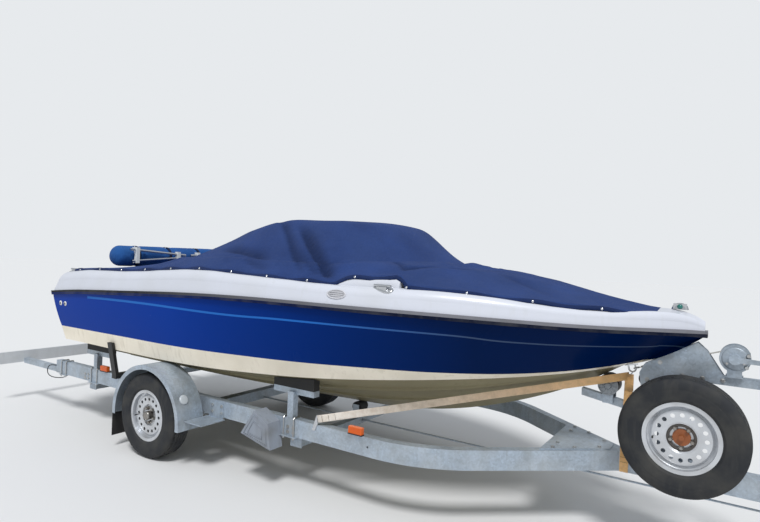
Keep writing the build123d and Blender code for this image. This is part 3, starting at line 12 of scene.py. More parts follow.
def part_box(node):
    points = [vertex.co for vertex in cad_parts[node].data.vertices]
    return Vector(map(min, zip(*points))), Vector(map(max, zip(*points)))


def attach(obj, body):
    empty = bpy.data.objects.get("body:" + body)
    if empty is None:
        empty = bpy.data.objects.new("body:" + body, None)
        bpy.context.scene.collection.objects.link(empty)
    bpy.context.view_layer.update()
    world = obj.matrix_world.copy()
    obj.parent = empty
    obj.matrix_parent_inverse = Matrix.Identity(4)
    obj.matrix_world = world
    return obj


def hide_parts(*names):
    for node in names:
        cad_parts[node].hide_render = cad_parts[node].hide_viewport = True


bl_info = {
    "name": "Boat on trailer",
    "version": (1, 0, 0),
    "blender": (4, 5, 0),
    "location": "View3D > Sidebar > Boat",
    "description": "Finishes and soft goods for a motor boat under its cover on a road trailer",
    "category": "Object",
}

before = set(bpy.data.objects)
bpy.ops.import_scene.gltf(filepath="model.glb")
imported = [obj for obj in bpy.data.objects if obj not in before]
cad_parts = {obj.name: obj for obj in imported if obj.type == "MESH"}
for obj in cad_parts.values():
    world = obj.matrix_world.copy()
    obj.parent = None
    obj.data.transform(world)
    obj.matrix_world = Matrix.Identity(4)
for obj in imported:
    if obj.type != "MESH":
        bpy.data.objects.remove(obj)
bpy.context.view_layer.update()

# The axle line lies this far behind the origin, in metres; sizes read from the picture are given ahead of it
AXLE_BEHIND = 1.155
# Starboard and port
SIDES = (-1, 1)
BOW = Vector((1.0, 0.0, 0.0))
PORT = Vector((0.0, 1.0, 0.0))
UP = Vector((0.0, 0.0, 1.0))
# Places ahead of the axle line at which the lines of hull, deck and cover are given
STATIONS = [round(-1.778 + 0.45 * i, 3) for i in range(13)]


def ahead(distance):
    """Row X of a point this far forward of the axle line."""
    return distance - AXLE_BEHIND


def by_station(*values):
    """Table of (ahead, value) rows, one value a station."""
    return tuple(zip(STATIONS, values))


# Settings shown in the panel
def colour(name, description, value):
    """Colour setting."""
    return bpy.props.FloatVectorProperty(
        name=name, description=description, subtype="COLOR", size=3, min=0.0, max=1.0, default=value
    )


def number(name, description, value):
    """Plain number setting."""
    return bpy.props.FloatProperty(name=name, description=description, default=value)


class HullSettings(bpy.types.PropertyGroup):
    """Hull colours and the boot-top lines."""

    blue: colour("Topside blue", "Gelcoat of the topsides", (0.0, 0.036, 0.29))
    # Painted shade: the topsides turn to this darker colour towards the bow
    navy: colour("Bow navy", "Topside colour towards the bow", (0.0, 0.010, 0.060))
    cream: colour("Boot-top cream", "Band between the chine and the blue", (0.90, 0.83, 0.70))
    bottom: colour("Bottom", "Stained bottom below the chine", (0.27, 0.24, 0.15))
    stripe: colour("Pinstripe", "Thin line along the topside", (0.02, 0.14, 0.50))
    deck: colour("Deck white", "Gelcoat of the deck moulding", (0.62, 0.64, 0.71))


class CoverSettings(bpy.types.PropertyGroup):
    """Travel cover and sun top canvas."""

    navy: colour("Cover navy", "Canvas of the travel cover", (0.024, 0.050, 0.165))
    boot: colour("Boot blue", "Canvas of the sun top's boot", (0.020, 0.085, 0.28))


class MetalSettings(bpy.types.PropertyGroup):
    """Trailer metal, wheels and rubber."""

    zinc: colour("Zinc", "Galvanised steel", (0.42, 0.49, 0.57))
    wheel: colour("Wheel silver", "Paint of the pressed wheels", (0.66, 0.68, 0.71))
    rubber: colour("Tyre rubber", "Tyres", (0.012, 0.014, 0.018))
    webbing: colour("Webbing", "Forward end of the tie-down strap", (0.88, 0.52, 0.22))


class StageSettings(bpy.types.PropertyGroup):
    """Camera, floor and light."""

    focal: number("Focal length", "Lens in millimetres on a 36 mm frame", 26.685)
    world: number("World", "Strength of the soft surrounding light", 0.58)
    sun: number("Sun", "Strength of the soft key light", 2.3)


# Every finish by its name
MADE = {}


# Mesh helpers
def at(distance, y, z):
    """Row point from a distance ahead of the axle line, in metres."""
    return Vector((ahead(distance), y, z))


def share(value):
    """Value held between 0 and 1."""
    return min(1.0, max(0.0, value))


def angles(count):
    """Angles that share a full turn evenly."""
    return [2 * math.pi * i / count for i in range(count)]


def upright(angle, reach=1.0):
    """Step in the plane along the boat, at an angle up from the bow's direction."""
    return Vector((reach * math.cos(angle), 0.0, reach * math.sin(angle)))


def shade(mesh, smooth):
    """Smooth or flat shading for all of a mesh."""
    mesh.polygons.foreach_set("use_smooth", [smooth] * len(mesh.polygons))


def new_piece(name, bm, finish, smooth=True, body="outfit"):
    """Object made from a bmesh, riding on a body, with the finish of that name."""
    mesh = bpy.data.meshes.new(name)
    bmesh.ops.recalc_face_normals(bm, faces=bm.faces)
    bm.to_mesh(mesh)
    bm.free()
    shade(mesh, smooth)
    made = bpy.data.objects.new(name, mesh)
    bpy.context.scene.collection.objects.link(made)
    made.data.materials.append(MADE[finish])
    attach(made, body)
    return made


def apply_modifiers(obj):
    """Bakes an object's modifiers into its mesh."""
    graph = bpy.context.evaluated_depsgraph_get()
    mesh = bpy.data.meshes.new_from_object(obj.evaluated_get(graph))
    obj.modifiers.clear()
    old = obj.data
    obj.data = mesh
    bpy.data.meshes.remove(old)


def modify(obj, kind, **settings):
    """Adds a modifier of a kind with its settings and bakes it in."""
    added = obj.modifiers.new(kind.lower(), kind)
    for key, value in settings.items():
        setattr(added, key, value)
    apply_modifiers(obj)


def bridge(bm, rings, caps=(0, -1), closed=False, around=True):
    """Faces between rows of vertices, around rings or along open rows; with caps, or closed last to first."""
    size = len(rings[0])
    for low, high in zip(rings, rings[1:] + (rings[:1] if closed else [])):
        for i in range(size if around else size - 1):
            j = (i + 1) % size
            bm.faces.new((low[i], low[j], high[j], high[i]))
    for end in () if closed else caps:
        bm.faces.new(rings[end])


def add_round(bm, start, end, radii, sides=20):
    """Round bar between two points, with (part of the way, radius) rings."""
    start, end = Vector(start), Vector(end)
    turn = (end - start).to_track_quat("Z", "Y")
    rings = []
    for part, radius in radii:
        middle = start.lerp(end, part)
        rings.append([
            bm.verts.new(middle + turn @ Vector((radius * math.cos(a), radius * math.sin(a), 0.0)))
            for a in angles(sides)
        ])
    bridge(bm, rings)


def add_bolt(bm, place, out, across=0.019, high=0.008, washer=0.013):
    """Hexagon head on a washer, standing out along a direction."""
    place, out = Vector(place), Vector(out).normalized()
    seat = 0.002
    add_round(bm, place, place + out * seat, ((0, washer), (1, washer)), 16)
    half = across / math.sqrt(3)
    head = ((0, half), (0.85, half), (1, half * 0.86))
    add_round(bm, place + out * seat, place + out * (seat + high), head, 6)


def add_box(bm, corner, other, bevel=0.0):
    """Box between two opposite corners with bevelled edges."""
    made = bmesh.ops.create_cube(bm, size=1.0)["verts"]
    for vert in made:
        vert.co = Vector([(a + b) / 2 + c * abs(b - a) for a, b, c in zip(corner, other, vert.co)])
    if bevel:
        edges = {edge for vert in made for edge in vert.link_edges}
        bmesh.ops.bevel(bm, geom=list(edges), offset=bevel, segments=2, affect="EDGES", profile=0.6)


# Sections of a strap, as shares of its width and thickness: plain, and woven with thick rounded edges
FLAT = ((-0.5, -0.5), (0.5, -0.5), (0.5, 0.5), (-0.5, 0.5))
WOVEN = (
    (-0.5, 0.0), (-0.485, -0.45), (-0.40, -0.5), (-0.2, -0.42), (0.2, -0.42), (0.40, -0.5), (0.485, -0.45),
    (0.5, 0.0), (0.485, 0.45), (0.40, 0.5), (0.2, 0.42), (-0.2, 0.42), (-0.40, 0.5), (-0.485, 0.45),
)


def add_strap(bm, points, width, thick, across, section=WOVEN):
    """Strap through points; across is its width direction, a list or one for all, squared up if woven."""
    points = [Vector(p) for p in points]
    if not isinstance(across, list):
        across = [across] * len(points)
    rings = []
    for i, point in enumerate(points):
        along = (points[min(i + 1, len(points) - 1)] - points[max(i - 1, 0)]).normalized()
        side = Vector(across[i])
        if section is WOVEN:
            side -= along * side.dot(along)
        side.normalize()
        up = along.cross(side).normalized()
        rings.append([bm.verts.new(point + side * (width * a) + up * (thick * b)) for a, b in section])
    bridge(bm, rings)


def add_tube(bm, points, radius, sides=8, closed=False):
    """Bent round bar through points."""
    points = [Vector(p) for p in points]
    count = len(points)
    rings, side = [], None
    for i, point in enumerate(points):
        before = points[(i - 1) % count] if closed else points[max(i - 1, 0)]
        after = points[(i + 1) % count] if closed else points[min(i + 1, count - 1)]
        along = (after - before).normalized()
        if side is None:
            side = along.orthogonal().normalized()
        side = (side - along * side.dot(along)).normalized()
        up = along.cross(side)
        rings.append([
            bm.verts.new(point + side * (radius * math.cos(a)) + up * (radius * math.sin(a)))
            for a in angles(sides)
        ])
    bridge(bm, rings, closed=closed)


def skin_of(*names):
    """Search tree over the surfaces of CAD nodes."""
    bm = bmesh.new()
    for name in names:
        bm.from_mesh(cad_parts[name].data)
    made = BVHTree.FromBMesh(bm)
    bm.free()
    return made


def meet(skin, start, way):
    """Point and outward normal where a line first meets a skin."""
    hit, normal = skin.ray_cast(Vector(start), way)[:2]
    if hit is None:
        raise RuntimeError(f"nothing to fit to from {tuple(start)}")
    return hit, normal if normal.dot(way) < 0 else -normal


def on_side(skin, x, z, side):
    """Point and outward normal on the boat's side at a place ahead and a height."""
    return meet(skin, at(x, side * 2.0, z), -side * PORT)


def smooth_table(table, x):
    """Value at x on a smooth curve through a table of (x, value) rows."""
    xs = [row[0] for row in table]
    if x <= xs[0]:
        return table[0][1]
    if x >= xs[-1]:
        return table[-1][1]
    i = max(j for j in range(len(xs) - 1) if xs[j] <= x)
    t = (x - xs[i]) / (xs[i + 1] - xs[i])
    low, high = table[i][1], table[i + 1][1]
    slope_in = (high - table[max(i - 1, 0)][1]) / 2
    slope_out = (table[min(i + 2, len(xs) - 1)][1] - low) / 2
    ends = (2 * t**3 - 3 * t**2 + 1) * low + (3 * t**2 - 2 * t**3) * high
    return ends + (t**3 - 2 * t**2 + t) * slope_in + (t**3 - t**2) * slope_out


# Shader node helpers
def feed(made, **inputs):
    """Links or sets a node's inputs, named, or numbered when the key is i and a number."""
    for key, value in inputs.items():
        numbered = key[0] == "i" and key[1:].isdigit()
        socket = made.inputs[int(key[1:])] if numbered else made.inputs[key.replace("_", " ")]
        if isinstance(value, bpy.types.NodeSocket):
            made.id_data.links.new(value, socket)
        else:
            socket.default_value = value
    return made


def node(tree, kind, **inputs):
    """New node with its inputs fed."""
    return feed(tree.nodes.new(kind), **inputs)


def maths(tree, operation, a, b=0.0, c=0.0):
    """Math node's result."""
    made = node(tree, "ShaderNodeMath", i0=a, i1=b, i2=c)
    made.operation = operation
    return made.outputs[0]


def mix_colour(tree, factor, a, b, mode="MIX"):
    """Mix node's colour result."""
    made = tree.nodes.new("ShaderNodeMix")
    made.data_type = "RGBA"
    made.blend_type = mode
    a, b = (value if isinstance(value, bpy.types.NodeSocket) else (*value[:3], 1.0) for value in (a, b))
    return feed(made, Factor=factor, i6=a, i7=b).outputs[2]


def ramp(tree, value, *stops):
    """Colour ramp through (position, grey) stops."""
    made = node(tree, "ShaderNodeValToRGB", Fac=value)
    for element, (position, grey) in zip(made.color_ramp.elements, stops):
        element.position = position
        element.color = (grey, grey, grey, 1.0)
    return made.outputs["Color"]


def position(tree):
    """Place on the object in metres, in the row frame."""
    return node(tree, "ShaderNodeTexCoord").outputs["Object"]


def axis(tree, name):
    """One coordinate of the place on the object."""
    return node(tree, "ShaderNodeSeparateXYZ", Vector=position(tree)).outputs[name]


def way_along(tree, start, end, **to):
    """Part of the way from start to end, both ahead of the axle line: 0 to 1, or between other ends."""
    span = {"From_Min": ahead(start), "From_Max": ahead(end)}
    return node(tree, "ShaderNodeMapRange", Value=axis(tree, "X"), **span, **to).outputs["Result"]


def noise(tree, scale, detail=4.0, roughness=0.55, place=None):
    """Noise value over the object, or over another mapping of its places."""
    place = place or position(tree)
    made = node(tree, "ShaderNodeTexNoise", Vector=place, Scale=scale, Detail=detail, Roughness=roughness)
    return made.outputs["Fac"]


def bump(tree, height, distance, strength=1.0, **under):
    """Bump node's normal, over another one given as Normal."""
    made = node(tree, "ShaderNodeBump", Height=height, Distance=distance, Strength=strength, **under)
    return made.outputs["Normal"]


def new_group(name, inputs, outputs):
    """Empty node group with (name, default) inputs and named outputs; its tree and both end nodes."""
    tree = bpy.data.node_groups.new(name, "ShaderNodeTree")
    for label, default in inputs:
        socket = tree.interface.new_socket(name=label, in_out="INPUT", socket_type="NodeSocketFloat")
        socket.default_value = default
    for label in outputs:
        tree.interface.new_socket(name=label, in_out="OUTPUT", socket_type="NodeSocketFloat")
    return tree, tree.nodes.new("NodeGroupInput").outputs, tree.nodes.new("NodeGroupOutput")


def grime_group():
    """Soft dirt: blotches and thin runs, as a mask."""
    tree, given, result = new_group("Grime", (("Scale", 6.0), ("Amount", 0.3), ("Runs", 0.5)), ("Mask",))
    blotch = noise(tree, given["Scale"], 6.0, 0.5)
    tall = node(tree, "ShaderNodeMapping", Vector=position(tree), Scale=(14.0, 14.0, 1.2))
    runs = noise(tree, 2.2, 3.0, 0.5, tall.outputs["Vector"])
    soft = maths(tree, "MULTIPLY", ramp(tree, blotch, (0.42, 0.0), (0.72, 1.0)), 0.8)
    thin = maths(tree, "MULTIPLY", ramp(tree, runs, (0.52, 0.0), (0.7, 1.0)), given["Runs"])
    feed(result, Mask=maths(tree, "MULTIPLY", maths(tree, "MAXIMUM", soft, thin), given["Amount"]))
    return tree


def weave_group():
    """Plain weave: height of crossing threads and a shade that varies from thread to thread."""
    tree, given, result = new_group("Weave", (("Threads", 900.0), ("Variation", 0.2)), ("Height", "Shade"))
    sideways = maths(tree, "ADD", axis(tree, "Y"), axis(tree, "Z"))
    along, across = (
        maths(tree, "SINE", maths(tree, "MULTIPLY", way, given["Threads"]))
        for way in (axis(tree, "X"), sideways)
    )
    slub = noise(tree, 90.0, 5.0, 0.5)
    total = maths(tree, "ADD", maths(tree, "MULTIPLY", slub, 0.5), noise(tree, 3.2, 3.0, 0.5))
    varied = maths(tree, "MULTIPLY_ADD", maths(tree, "SUBTRACT", total, 0.75), given["Variation"], 1.0)
    feed(result, Height=maths(tree, "MULTIPLY", along, across), Shade=varied)
    return tree


def spangle_group():
    """Zinc spangle: flat crystals a few millimetres wide, with a dull white bloom between them."""
    tree, given, result = new_group("Spangle", (("Scale", 70.0), ("Bloom", 0.5)), ("Shade", "Dull"))
    cells = node(tree, "ShaderNodeTexVoronoi", Vector=position(tree), Scale=given["Scale"])
    grey = node(tree, "ShaderNodeSeparateColor", Color=cells.outputs["Color"]).outputs["Red"]
    wide = noise(tree, 7.0, 5.0, 0.5)
    dull = maths(tree, "MULTIPLY", ramp(tree, wide, (0.4, 0.0), (0.75, 1.0)), given["Bloom"])
    feed(result, Shade=maths(tree, "MULTIPLY_ADD", grey, 0.22, 0.86), Dull=dull)
    return tree


# Node groups by the function that makes them
GROUPS = {}


def use_group(tree, maker, **inputs):
    """Places a node group, made when first asked for, and gives its outputs."""
    if maker not in GROUPS:
        GROUPS[maker] = maker()
    made = tree.nodes.new("ShaderNodeGroup")
    made.node_tree = GROUPS[maker]
    return feed(made, **inputs).outputs


def grime(tree, scale, amount, runs):
    """Mask of soft dirt."""
    return use_group(tree, grime_group, Scale=scale, Amount=amount, Runs=runs)["Mask"]


def material(name, **settings):
    """New Principled material, its tree and its shader with sockets set; MADE finds the material again."""
    made = MADE[name] = bpy.data.materials.new(name)
    made.use_nodes = True
    return made, made.node_tree, feed(made.node_tree.nodes["Principled BSDF"], **settings)


def dress(finish, *names):
    """Puts a material on CAD nodes."""
    for name in names:
        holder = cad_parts[name]
        for slot in holder.material_slots:
            slot.material = finish
        if not holder.material_slots:
            holder.data.materials.append(finish)


# Finishes
# Heights along the boat: top and foot of the cream band, and the thin stripe's middle
BAND_LINE = by_station(
    0.862, 0.864, 0.866, 0.868, 0.869, 0.875, 0.888, 0.904, 0.922, 0.934, 0.957, 1.022, 1.233
)
CHINE_LINE = by_station(
    0.748, 0.744, 0.741, 0.737, 0.736, 0.745, 0.766, 0.795, 0.835, 0.880, 0.928, 1.004, 1.229
)
STRIPE_LINE = (
    (-1.0, 1.16), (-0.18, 1.173), (0.75, 1.168), (1.33, 1.181), (1.87, 1.182), (2.37, 1.174), (2.70, 1.152),
    (3.08, 1.145), (3.40, 1.16),
)
STRIPE_START = -0.95
# Painted shade: the stripe turns to this darker colour towards the bow
SHADED_STRIPE = (0.045, 0.075, 0.15)
BAND_STAIN = (0.36, 0.30, 0.19)
BOTTOM_STAIN = (0.13, 0.11, 0.065)


def curve_over_x(tree, table, low, high):
    """Height that follows a table of (ahead, height) points along the boat, all between low and high."""
    start, end = table[0][0], table[-1][0]
    made = node(tree, "ShaderNodeFloatCurve", Value=way_along(tree, start, end))
    curve = made.mapping.curves[0]
    points = [((a - start) / (end - start), (z - low) / (high - low)) for a, z in table]
    curve.points[0].location = points[0]
    curve.points[1].location = points[-1]
    for point in points[1:-1]:
        curve.points.new(*point)
    made.mapping.update()
    return maths(tree, "MULTIPLY_ADD", made.outputs["Value"], high - low, low)


def hull_finish(settings):
    """Gelcoat: blue topsides and a thin stripe, both darkened by painted shade towards the bow, a cream
    boot-top and a stained bottom.
    """
    made, tree, shader = material(
        "hull_gelcoat", Specular_IOR_Level=0.035, Coat_Weight=0.02, Coat_Roughness=0.05
    )
    z = axis(tree, "Z")
    above_band = maths(tree, "GREATER_THAN", z, curve_over_x(tree, BAND_LINE, 0.8, 1.3))
    above_chine = maths(tree, "GREATER_THAN", z, curve_over_x(tree, CHINE_LINE, 0.7, 1.3))
    over_stripe = maths(tree, "SUBTRACT", z, curve_over_x(tree, STRIPE_LINE, 1.1, 1.2))
    from_stripe = maths(tree, "ABSOLUTE", over_stripe)
    half_width = way_along(tree, STRIPE_START, 3.3, To_Min=0.010, To_Max=0.0035)
    started = maths(tree, "GREATER_THAN", axis(tree, "X"), ahead(STRIPE_START))
    on_stripe = maths(tree, "MULTIPLY", maths(tree, "LESS_THAN", from_stripe, half_width), started)
    # Painted shade: topsides and stripe darken towards the bow
    top = mix_colour(tree, way_along(tree, 0.15, 2.5), settings.blue, settings.navy)
    line = mix_colour(tree, way_along(tree, 1.5, 2.5), settings.stripe, SHADED_STRIPE)
    dirt = grime(tree, 3.5, 0.3, 0.7)
    cream = mix_colour(tree, dirt, settings.cream, BAND_STAIN)
    bottom = mix_colour(tree, dirt, settings.bottom, BOTTOM_STAIN)
    low = mix_colour(tree, above_chine, bottom, cream)
    feed(
        shader,
        Base_Color=mix_colour(tree, above_band, low, mix_colour(tree, on_stripe, top, line)),
        Roughness=maths(tree, "MULTIPLY_ADD", dirt, 0.35, 0.2),
    )
    return made


def rail_middle():
    """Height of the rub rail's middle along the boat, as (ahead, height) rows."""
    skin = skin_of("rub_rail")
    low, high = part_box("rub_rail")
    inset, stations, step = 0.04, 24, 0.002
    heights = [low.z + step * i for i in range(int((high.z - low.z) / step))]
    rows = []
    for i in range(stations):
        x = low.x + inset + (high.x - low.x - 2 * inset) * i / (stations - 1)
        met = [z for z in heights if skin.ray_cast(Vector((x, -2.0, z)), PORT, 2.0)[0]]
        if not met:
            raise RuntimeError(f"no rub rail at {x:.2f}")
        rows.append((x + AXLE_BEHIND, (met[0] + met[-1]) / 2))
    return rows


def rail_and_shadow_finish():
    """Rub rail vinyl: black aft turning grey towards the bow above its middle; below its middle a painted
    shadow of the deck's overhang, navy aft and near black forward.
    """
    made, tree, shader = material("rail_vinyl", Roughness=0.5, Specular_IOR_Level=0.1)
    forward = way_along(tree, -0.2, 2.2)
    upper = mix_colour(tree, forward, (0.012, 0.013, 0.018), (0.20, 0.20, 0.225))
    # Painted shadow: the lower half takes the colour of the hull in the deck's shade
    lower = mix_colour(tree, forward, (0.0, 0.010, 0.085), (0.003, 0.006, 0.022))
    is_upper = maths(tree, "GREATER_THAN", axis(tree, "Z"), curve_over_x(tree, rail_middle(), 1.1, 1.5))
    base = mix_colour(tree, is_upper, lower, upper)
    feed(
        shader,
        Base_Color=mix_colour(tree, grime(tree, 9.0, 0.4, 0.3), base, (0.10, 0.10, 0.10)),
        Normal=bump(tree, noise(tree, 160.0), 0.0003, 0.5),
    )
    return made


def canvas_finish(name, tint, worn, threads=1500.0, shaded_creases=False):
    """Woven acrylic canvas with slubs, fading and a light nap; painted shade darkens the folds where the mesh
    marks them.
    """
    made, tree, shader = material(
        name, Roughness=0.9, Sheen_Weight=0.04, Sheen_Roughness=0.5, Specular_IOR_Level=0.1
    )
    weave = use_group(tree, weave_group, Threads=threads, Variation=0.7)
    base = mix_colour(tree, 1.0, tint, weave["Shade"], "MULTIPLY")
    base = mix_colour(tree, ramp(tree, noise(tree, 2.1, 5.0), (0.45, 0.0), (0.8, 0.6)), base, worn)
    if shaded_creases:
        # Painted shade: the marked folds darken towards a fifth of the tint
        mark = tree.nodes.new("ShaderNodeAttribute")
        mark.attribute_name = "crease"
        held = maths(tree, "MULTIPLY", mark.outputs["Fac"], 0.62)
        base = mix_colour(tree, held, base, [part * 0.22 for part in tint])
    wide = bump(tree, noise(tree, 4.5, 3.0, 0.5), 0.030, 0.5)
    soft = bump(tree, noise(tree, 18.0, 6.0, 0.6), 0.005, 0.7, Normal=wide)
    feed(shader, Base_Color=base, Normal=bump(tree, weave["Height"], 0.0005, 0.6, Normal=soft))
    return made


def zinc_finish(settings):
    """Hot-dip galvanised steel that has dulled outdoors."""
    made, tree, shader = material("galvanised", Metallic=0.55)
    spangle = use_group(tree, spangle_group, Scale=85.0, Bloom=0.6)
    base = mix_colour(tree, 1.0, settings.zinc, spangle["Shade"], "MULTIPLY")
    pale = mix_colour(tree, spangle["Dull"], base, (0.55, 0.59, 0.62))
    feed(
        shader,
        Base_Color=mix_colour(tree, grime(tree, 9.0, 0.4, 0.5), pale, (0.16, 0.15, 0.12)),
        Roughness=maths(tree, "MULTIPLY_ADD", spangle["Dull"], 0.3, 0.42),
    )
    return made


def plain_finish(
    name, tint, dirt, roughness, scale=8.0, amount=0.3, runs=0.4, rougher=0.3, bumpy=0.0, **settings
):
    """Painted, moulded or rubber finish with grime and a fine texture."""
    made, tree, shader = material(name, **settings)
    mask = grime(tree, scale, amount, runs)
    feed(
        shader,
        Base_Color=mix_colour(tree, mask, tint, dirt),
        Roughness=maths(tree, "MULTIPLY_ADD", mask, rougher, roughness),
    )
    if bumpy:
        feed(shader, Normal=bump(tree, noise(tree, 220.0, 3.0), bumpy))
    return made


def webbing_finish(name, tint, worn, forward=None):
    """Woven polyester webbing: cross ribs and dirt; the colour turns to `forward` towards the bow."""
    made, tree, shader = material(name, Roughness=0.7, Sheen_Weight=0.15, Specular_IOR_Level=0.25)
    weave = use_group(tree, weave_group, Threads=2300.0, Variation=0.5)
    if forward is not None:
        tint = mix_colour(tree, way_along(tree, 1.7, 3.2), tint, forward)
    base = mix_colour(tree, 1.0, tint, weave["Shade"], "MULTIPLY")
    feed(
        shader,
        Base_Color=mix_colour(tree, grime(tree, 24.0, 0.45, 0.2), base, worn),
        Normal=bump(tree, weave["Height"], 0.0006, 0.8),
    )
    return made


# Soft goods
# Half width of the cover's hem, height of the deck edge under it, and half width of the hull at its chine
HEM_HALF = by_station(
    0.888, 0.911, 0.930, 0.947, 0.961, 0.969, 0.967, 0.949, 0.898, 0.782, 0.584, 0.312, 0.012
)
DECK_EDGE = by_station(
    1.320, 1.374, 1.402, 1.415, 1.446, 1.468, 1.454, 1.438, 1.428, 1.428, 1.392, 1.356, 1.300
)
CHINE_HALF = by_station(0.933, 0.937, 0.939, 0.940, 0.937, 0.930, 0.908, 0.875, 0.800, 0.652, 0.405, 0.060)
COVER_REAR, COVER_FRONT = -1.33, 3.385
HEM_DROP = 0.022
HEM_OVER_DECK = 0.016
FIRST_SNAP, SNAP_SPACING = 0.10, 0.335
# Highest the canvas reaches over the raked windscreen: ahead, height at the middle
RAKE = (
    (1.50, 1.886), (1.60, 1.878), (1.70, 1.842), (1.822, 1.766), (1.95, 1.678), (2.05, 1.624), (2.15, 1.592),
    (2.272, 1.576), (2.40, 1.566),
)
# The windscreen's top edge curves back by this share of y squared
RAKE_BOW = 0.85
# How much the crown is drawn up so that it hangs right once the cloth has settled: ahead, lift
CROWN_LIFT = (
    (-0.10, 0.0), (0.30, 0.0), (0.50, 0.014), (0.70, 0.042), (0.85, 0.046), (1.20, 0.034), (1.50, 0.030),
    (1.70, 0.014), (1.90, -0.010), (2.05, -0.014), (2.20, 0.0),
)
# Height over the deck edge from which the crown is drawn up in full
LIFT_HEIGHT = 0.25
# Folds pulled into the cover: from (ahead, y) to (ahead, y), half width, depth
FOLDS = (
    (1.10, -0.62, 1.66, -0.955, 0.034, 0.054),
    (1.24, -0.80, 1.56, -0.945, 0.026, 0.020),
    (0.80, -0.52, 1.34, -0.900, 0.030, 0.030),
    (0.46, -0.74, 0.98, -0.850, 0.034, 0.032),
    (0.80, -0.88, 1.10, -0.955, 0.030, 0.018),
    (1.86, -0.58, 2.03, -0.710, 0.022, 0.022),
    (2.02, -0.70, 2.17, -0.500, 0.024, 0.056),
    (2.17, -0.50, 2.31, -0.380, 0.024, 0.056),
    (1.20, 0.72, 1.66, 0.955, 0.042, 0.034),
    (0.80, 0.56, 1.30, 0.900, 0.032, 0.018),
    (0.46, 0.78, 0.90, 0.860, 0.034, 0.020),
    (1.86, 0.58, 2.03, 0.710, 0.022, 0.022),
    (2.04, 0.68, 2.17, 0.500, 0.024, 0.032),
    (2.17, 0.50, 2.31, 0.400, 0.024, 0.030),
    (-0.20, -0.55, -0.60, -0.90, 0.060, 0.016),
    (0.00, -0.62, -0.20, -0.93, 0.040, 0.014),
    (-0.15, 0.55, -0.65, 0.90, 0.060, 0.016),
    (0.10, -0.30, -0.90, -0.45, 0.050, 0.014),
    (0.10, 0.25, -0.90, 0.40, 0.050, 0.014),
    (2.50, -0.30, 2.95, -0.44, 0.035, 0.010),
    (2.60, 0.28, 3.05, 0.36, 0.035, 0.010),
    (1.15, -0.30, 1.30, 0.40, 0.060, 0.008),
)
# Each fold's side to the stern is steeper by this factor
FOLD_STEEP = 2.0
# A fold starts this share of its length before its first end and is gone this far along it
FOLD_START, FOLD_END = -0.15, 1.1
# White mouldings that carry the windscreen's foot: ahead, height of the top over the deck edge
STEP_TOP = (
    (1.64, 0.0), (1.68, 0.016), (1.73, 0.036), (1.78, 0.046), (1.90, 0.052), (2.00, 0.057), (2.06, 0.060),
)
# Where the moulding ends, and where the canvas has come down from it
STEP_END, STEP_GONE = 2.075, 2.11
# The moulding leans in by this share of its height
STEP_LEAN = 0.35


def step_height(x):
    """Height of the windscreen's foot moulding over the deck edge."""
    if x <= STEP_TOP[0][0] or x >= STEP_GONE:
        return 0.0
    if x > STEP_END:
        return STEP_TOP[-1][1] * (STEP_GONE - x) / (STEP_GONE - STEP_END)
    return smooth_table(STEP_TOP, x)


def hem_half(x):
    """Half width of the cover at its hem."""
    return smooth_table(HEM_HALF, x) - STEP_LEAN * step_height(x)


def hem_height(x):
    """Height of the cover's hem line."""
    return smooth_table(DECK_EDGE, x) + HEM_OVER_DECK + step_height(x)


def fold_depth(x, y):
    """How far the folds pull the cover in at a place in plan."""
    depth = 0.0
    for x0, y0, x1, y1, half, deep in FOLDS:
        run = Vector((x1 - x0, y1 - y0))
        from_start = Vector((x - x0, y - y0))
        part = from_start.dot(run) / run.length_squared
        if FOLD_START < part < FOLD_END:
            off = (from_start - run * part).length
            if (run.x * (y - y0) - run.y * (x - x0)) * y0 > 0:
                off *= FOLD_STEEP
            fade = share((part - FOLD_START) / 0.35) * share((FOLD_END - part) / 0.3)
            depth += deep * fade * math.exp(-((off / half) ** 2))
    return depth


def cover_grid(rows, columns):
    """Places in plan and heights of the drawn cover: hem, sides and crown, smoothed over the CAD's panels."""
    skin = skin_of("cover", "deck")
    smoothing_rounds, kept, from_each_side = 12, 0.4, 0.15
    heights, places = [], []
    for i in range(rows + 1):
        x = COVER_REAR + (COVER_FRONT - COVER_REAR) * i / rows
        half, edge = hem_half(x), hem_height(x)
        line, place = [], []
        for j in range(columns + 1):
            y = half * (-1.0 + 2.0 * j / columns)
            hit = skin.ray_cast(at(x, y * 0.995, 3.0), -UP)[0]
            drawn = hit.z if hit else edge
            behind = x + RAKE_BOW * y * y
            if RAKE[0][0] < behind and x < RAKE[-1][0]:
                drawn = min(drawn, smooth_table(RAKE, behind))
            if CROWN_LIFT[0][0] < x < CROWN_LIFT[-1][0]:
                drawn += smooth_table(CROWN_LIFT, x) * share((drawn - edge) / LIFT_HEIGHT)
            line.append(max(drawn, edge))
            place.append((x, y))
        line[0] = line[-1] = edge
        heights.append(line)
        places.append(place)
    for _ in range(smoothing_rounds):
        old = [line[:] for line in heights]
        for i in range(1, rows):
            for j in range(1, columns):
                around = old[i - 1][j] + old[i + 1][j] + old[i][j - 1] + old[i][j + 1]
                heights[i][j] = old[i][j] * kept + around * from_each_side
    return places, heights


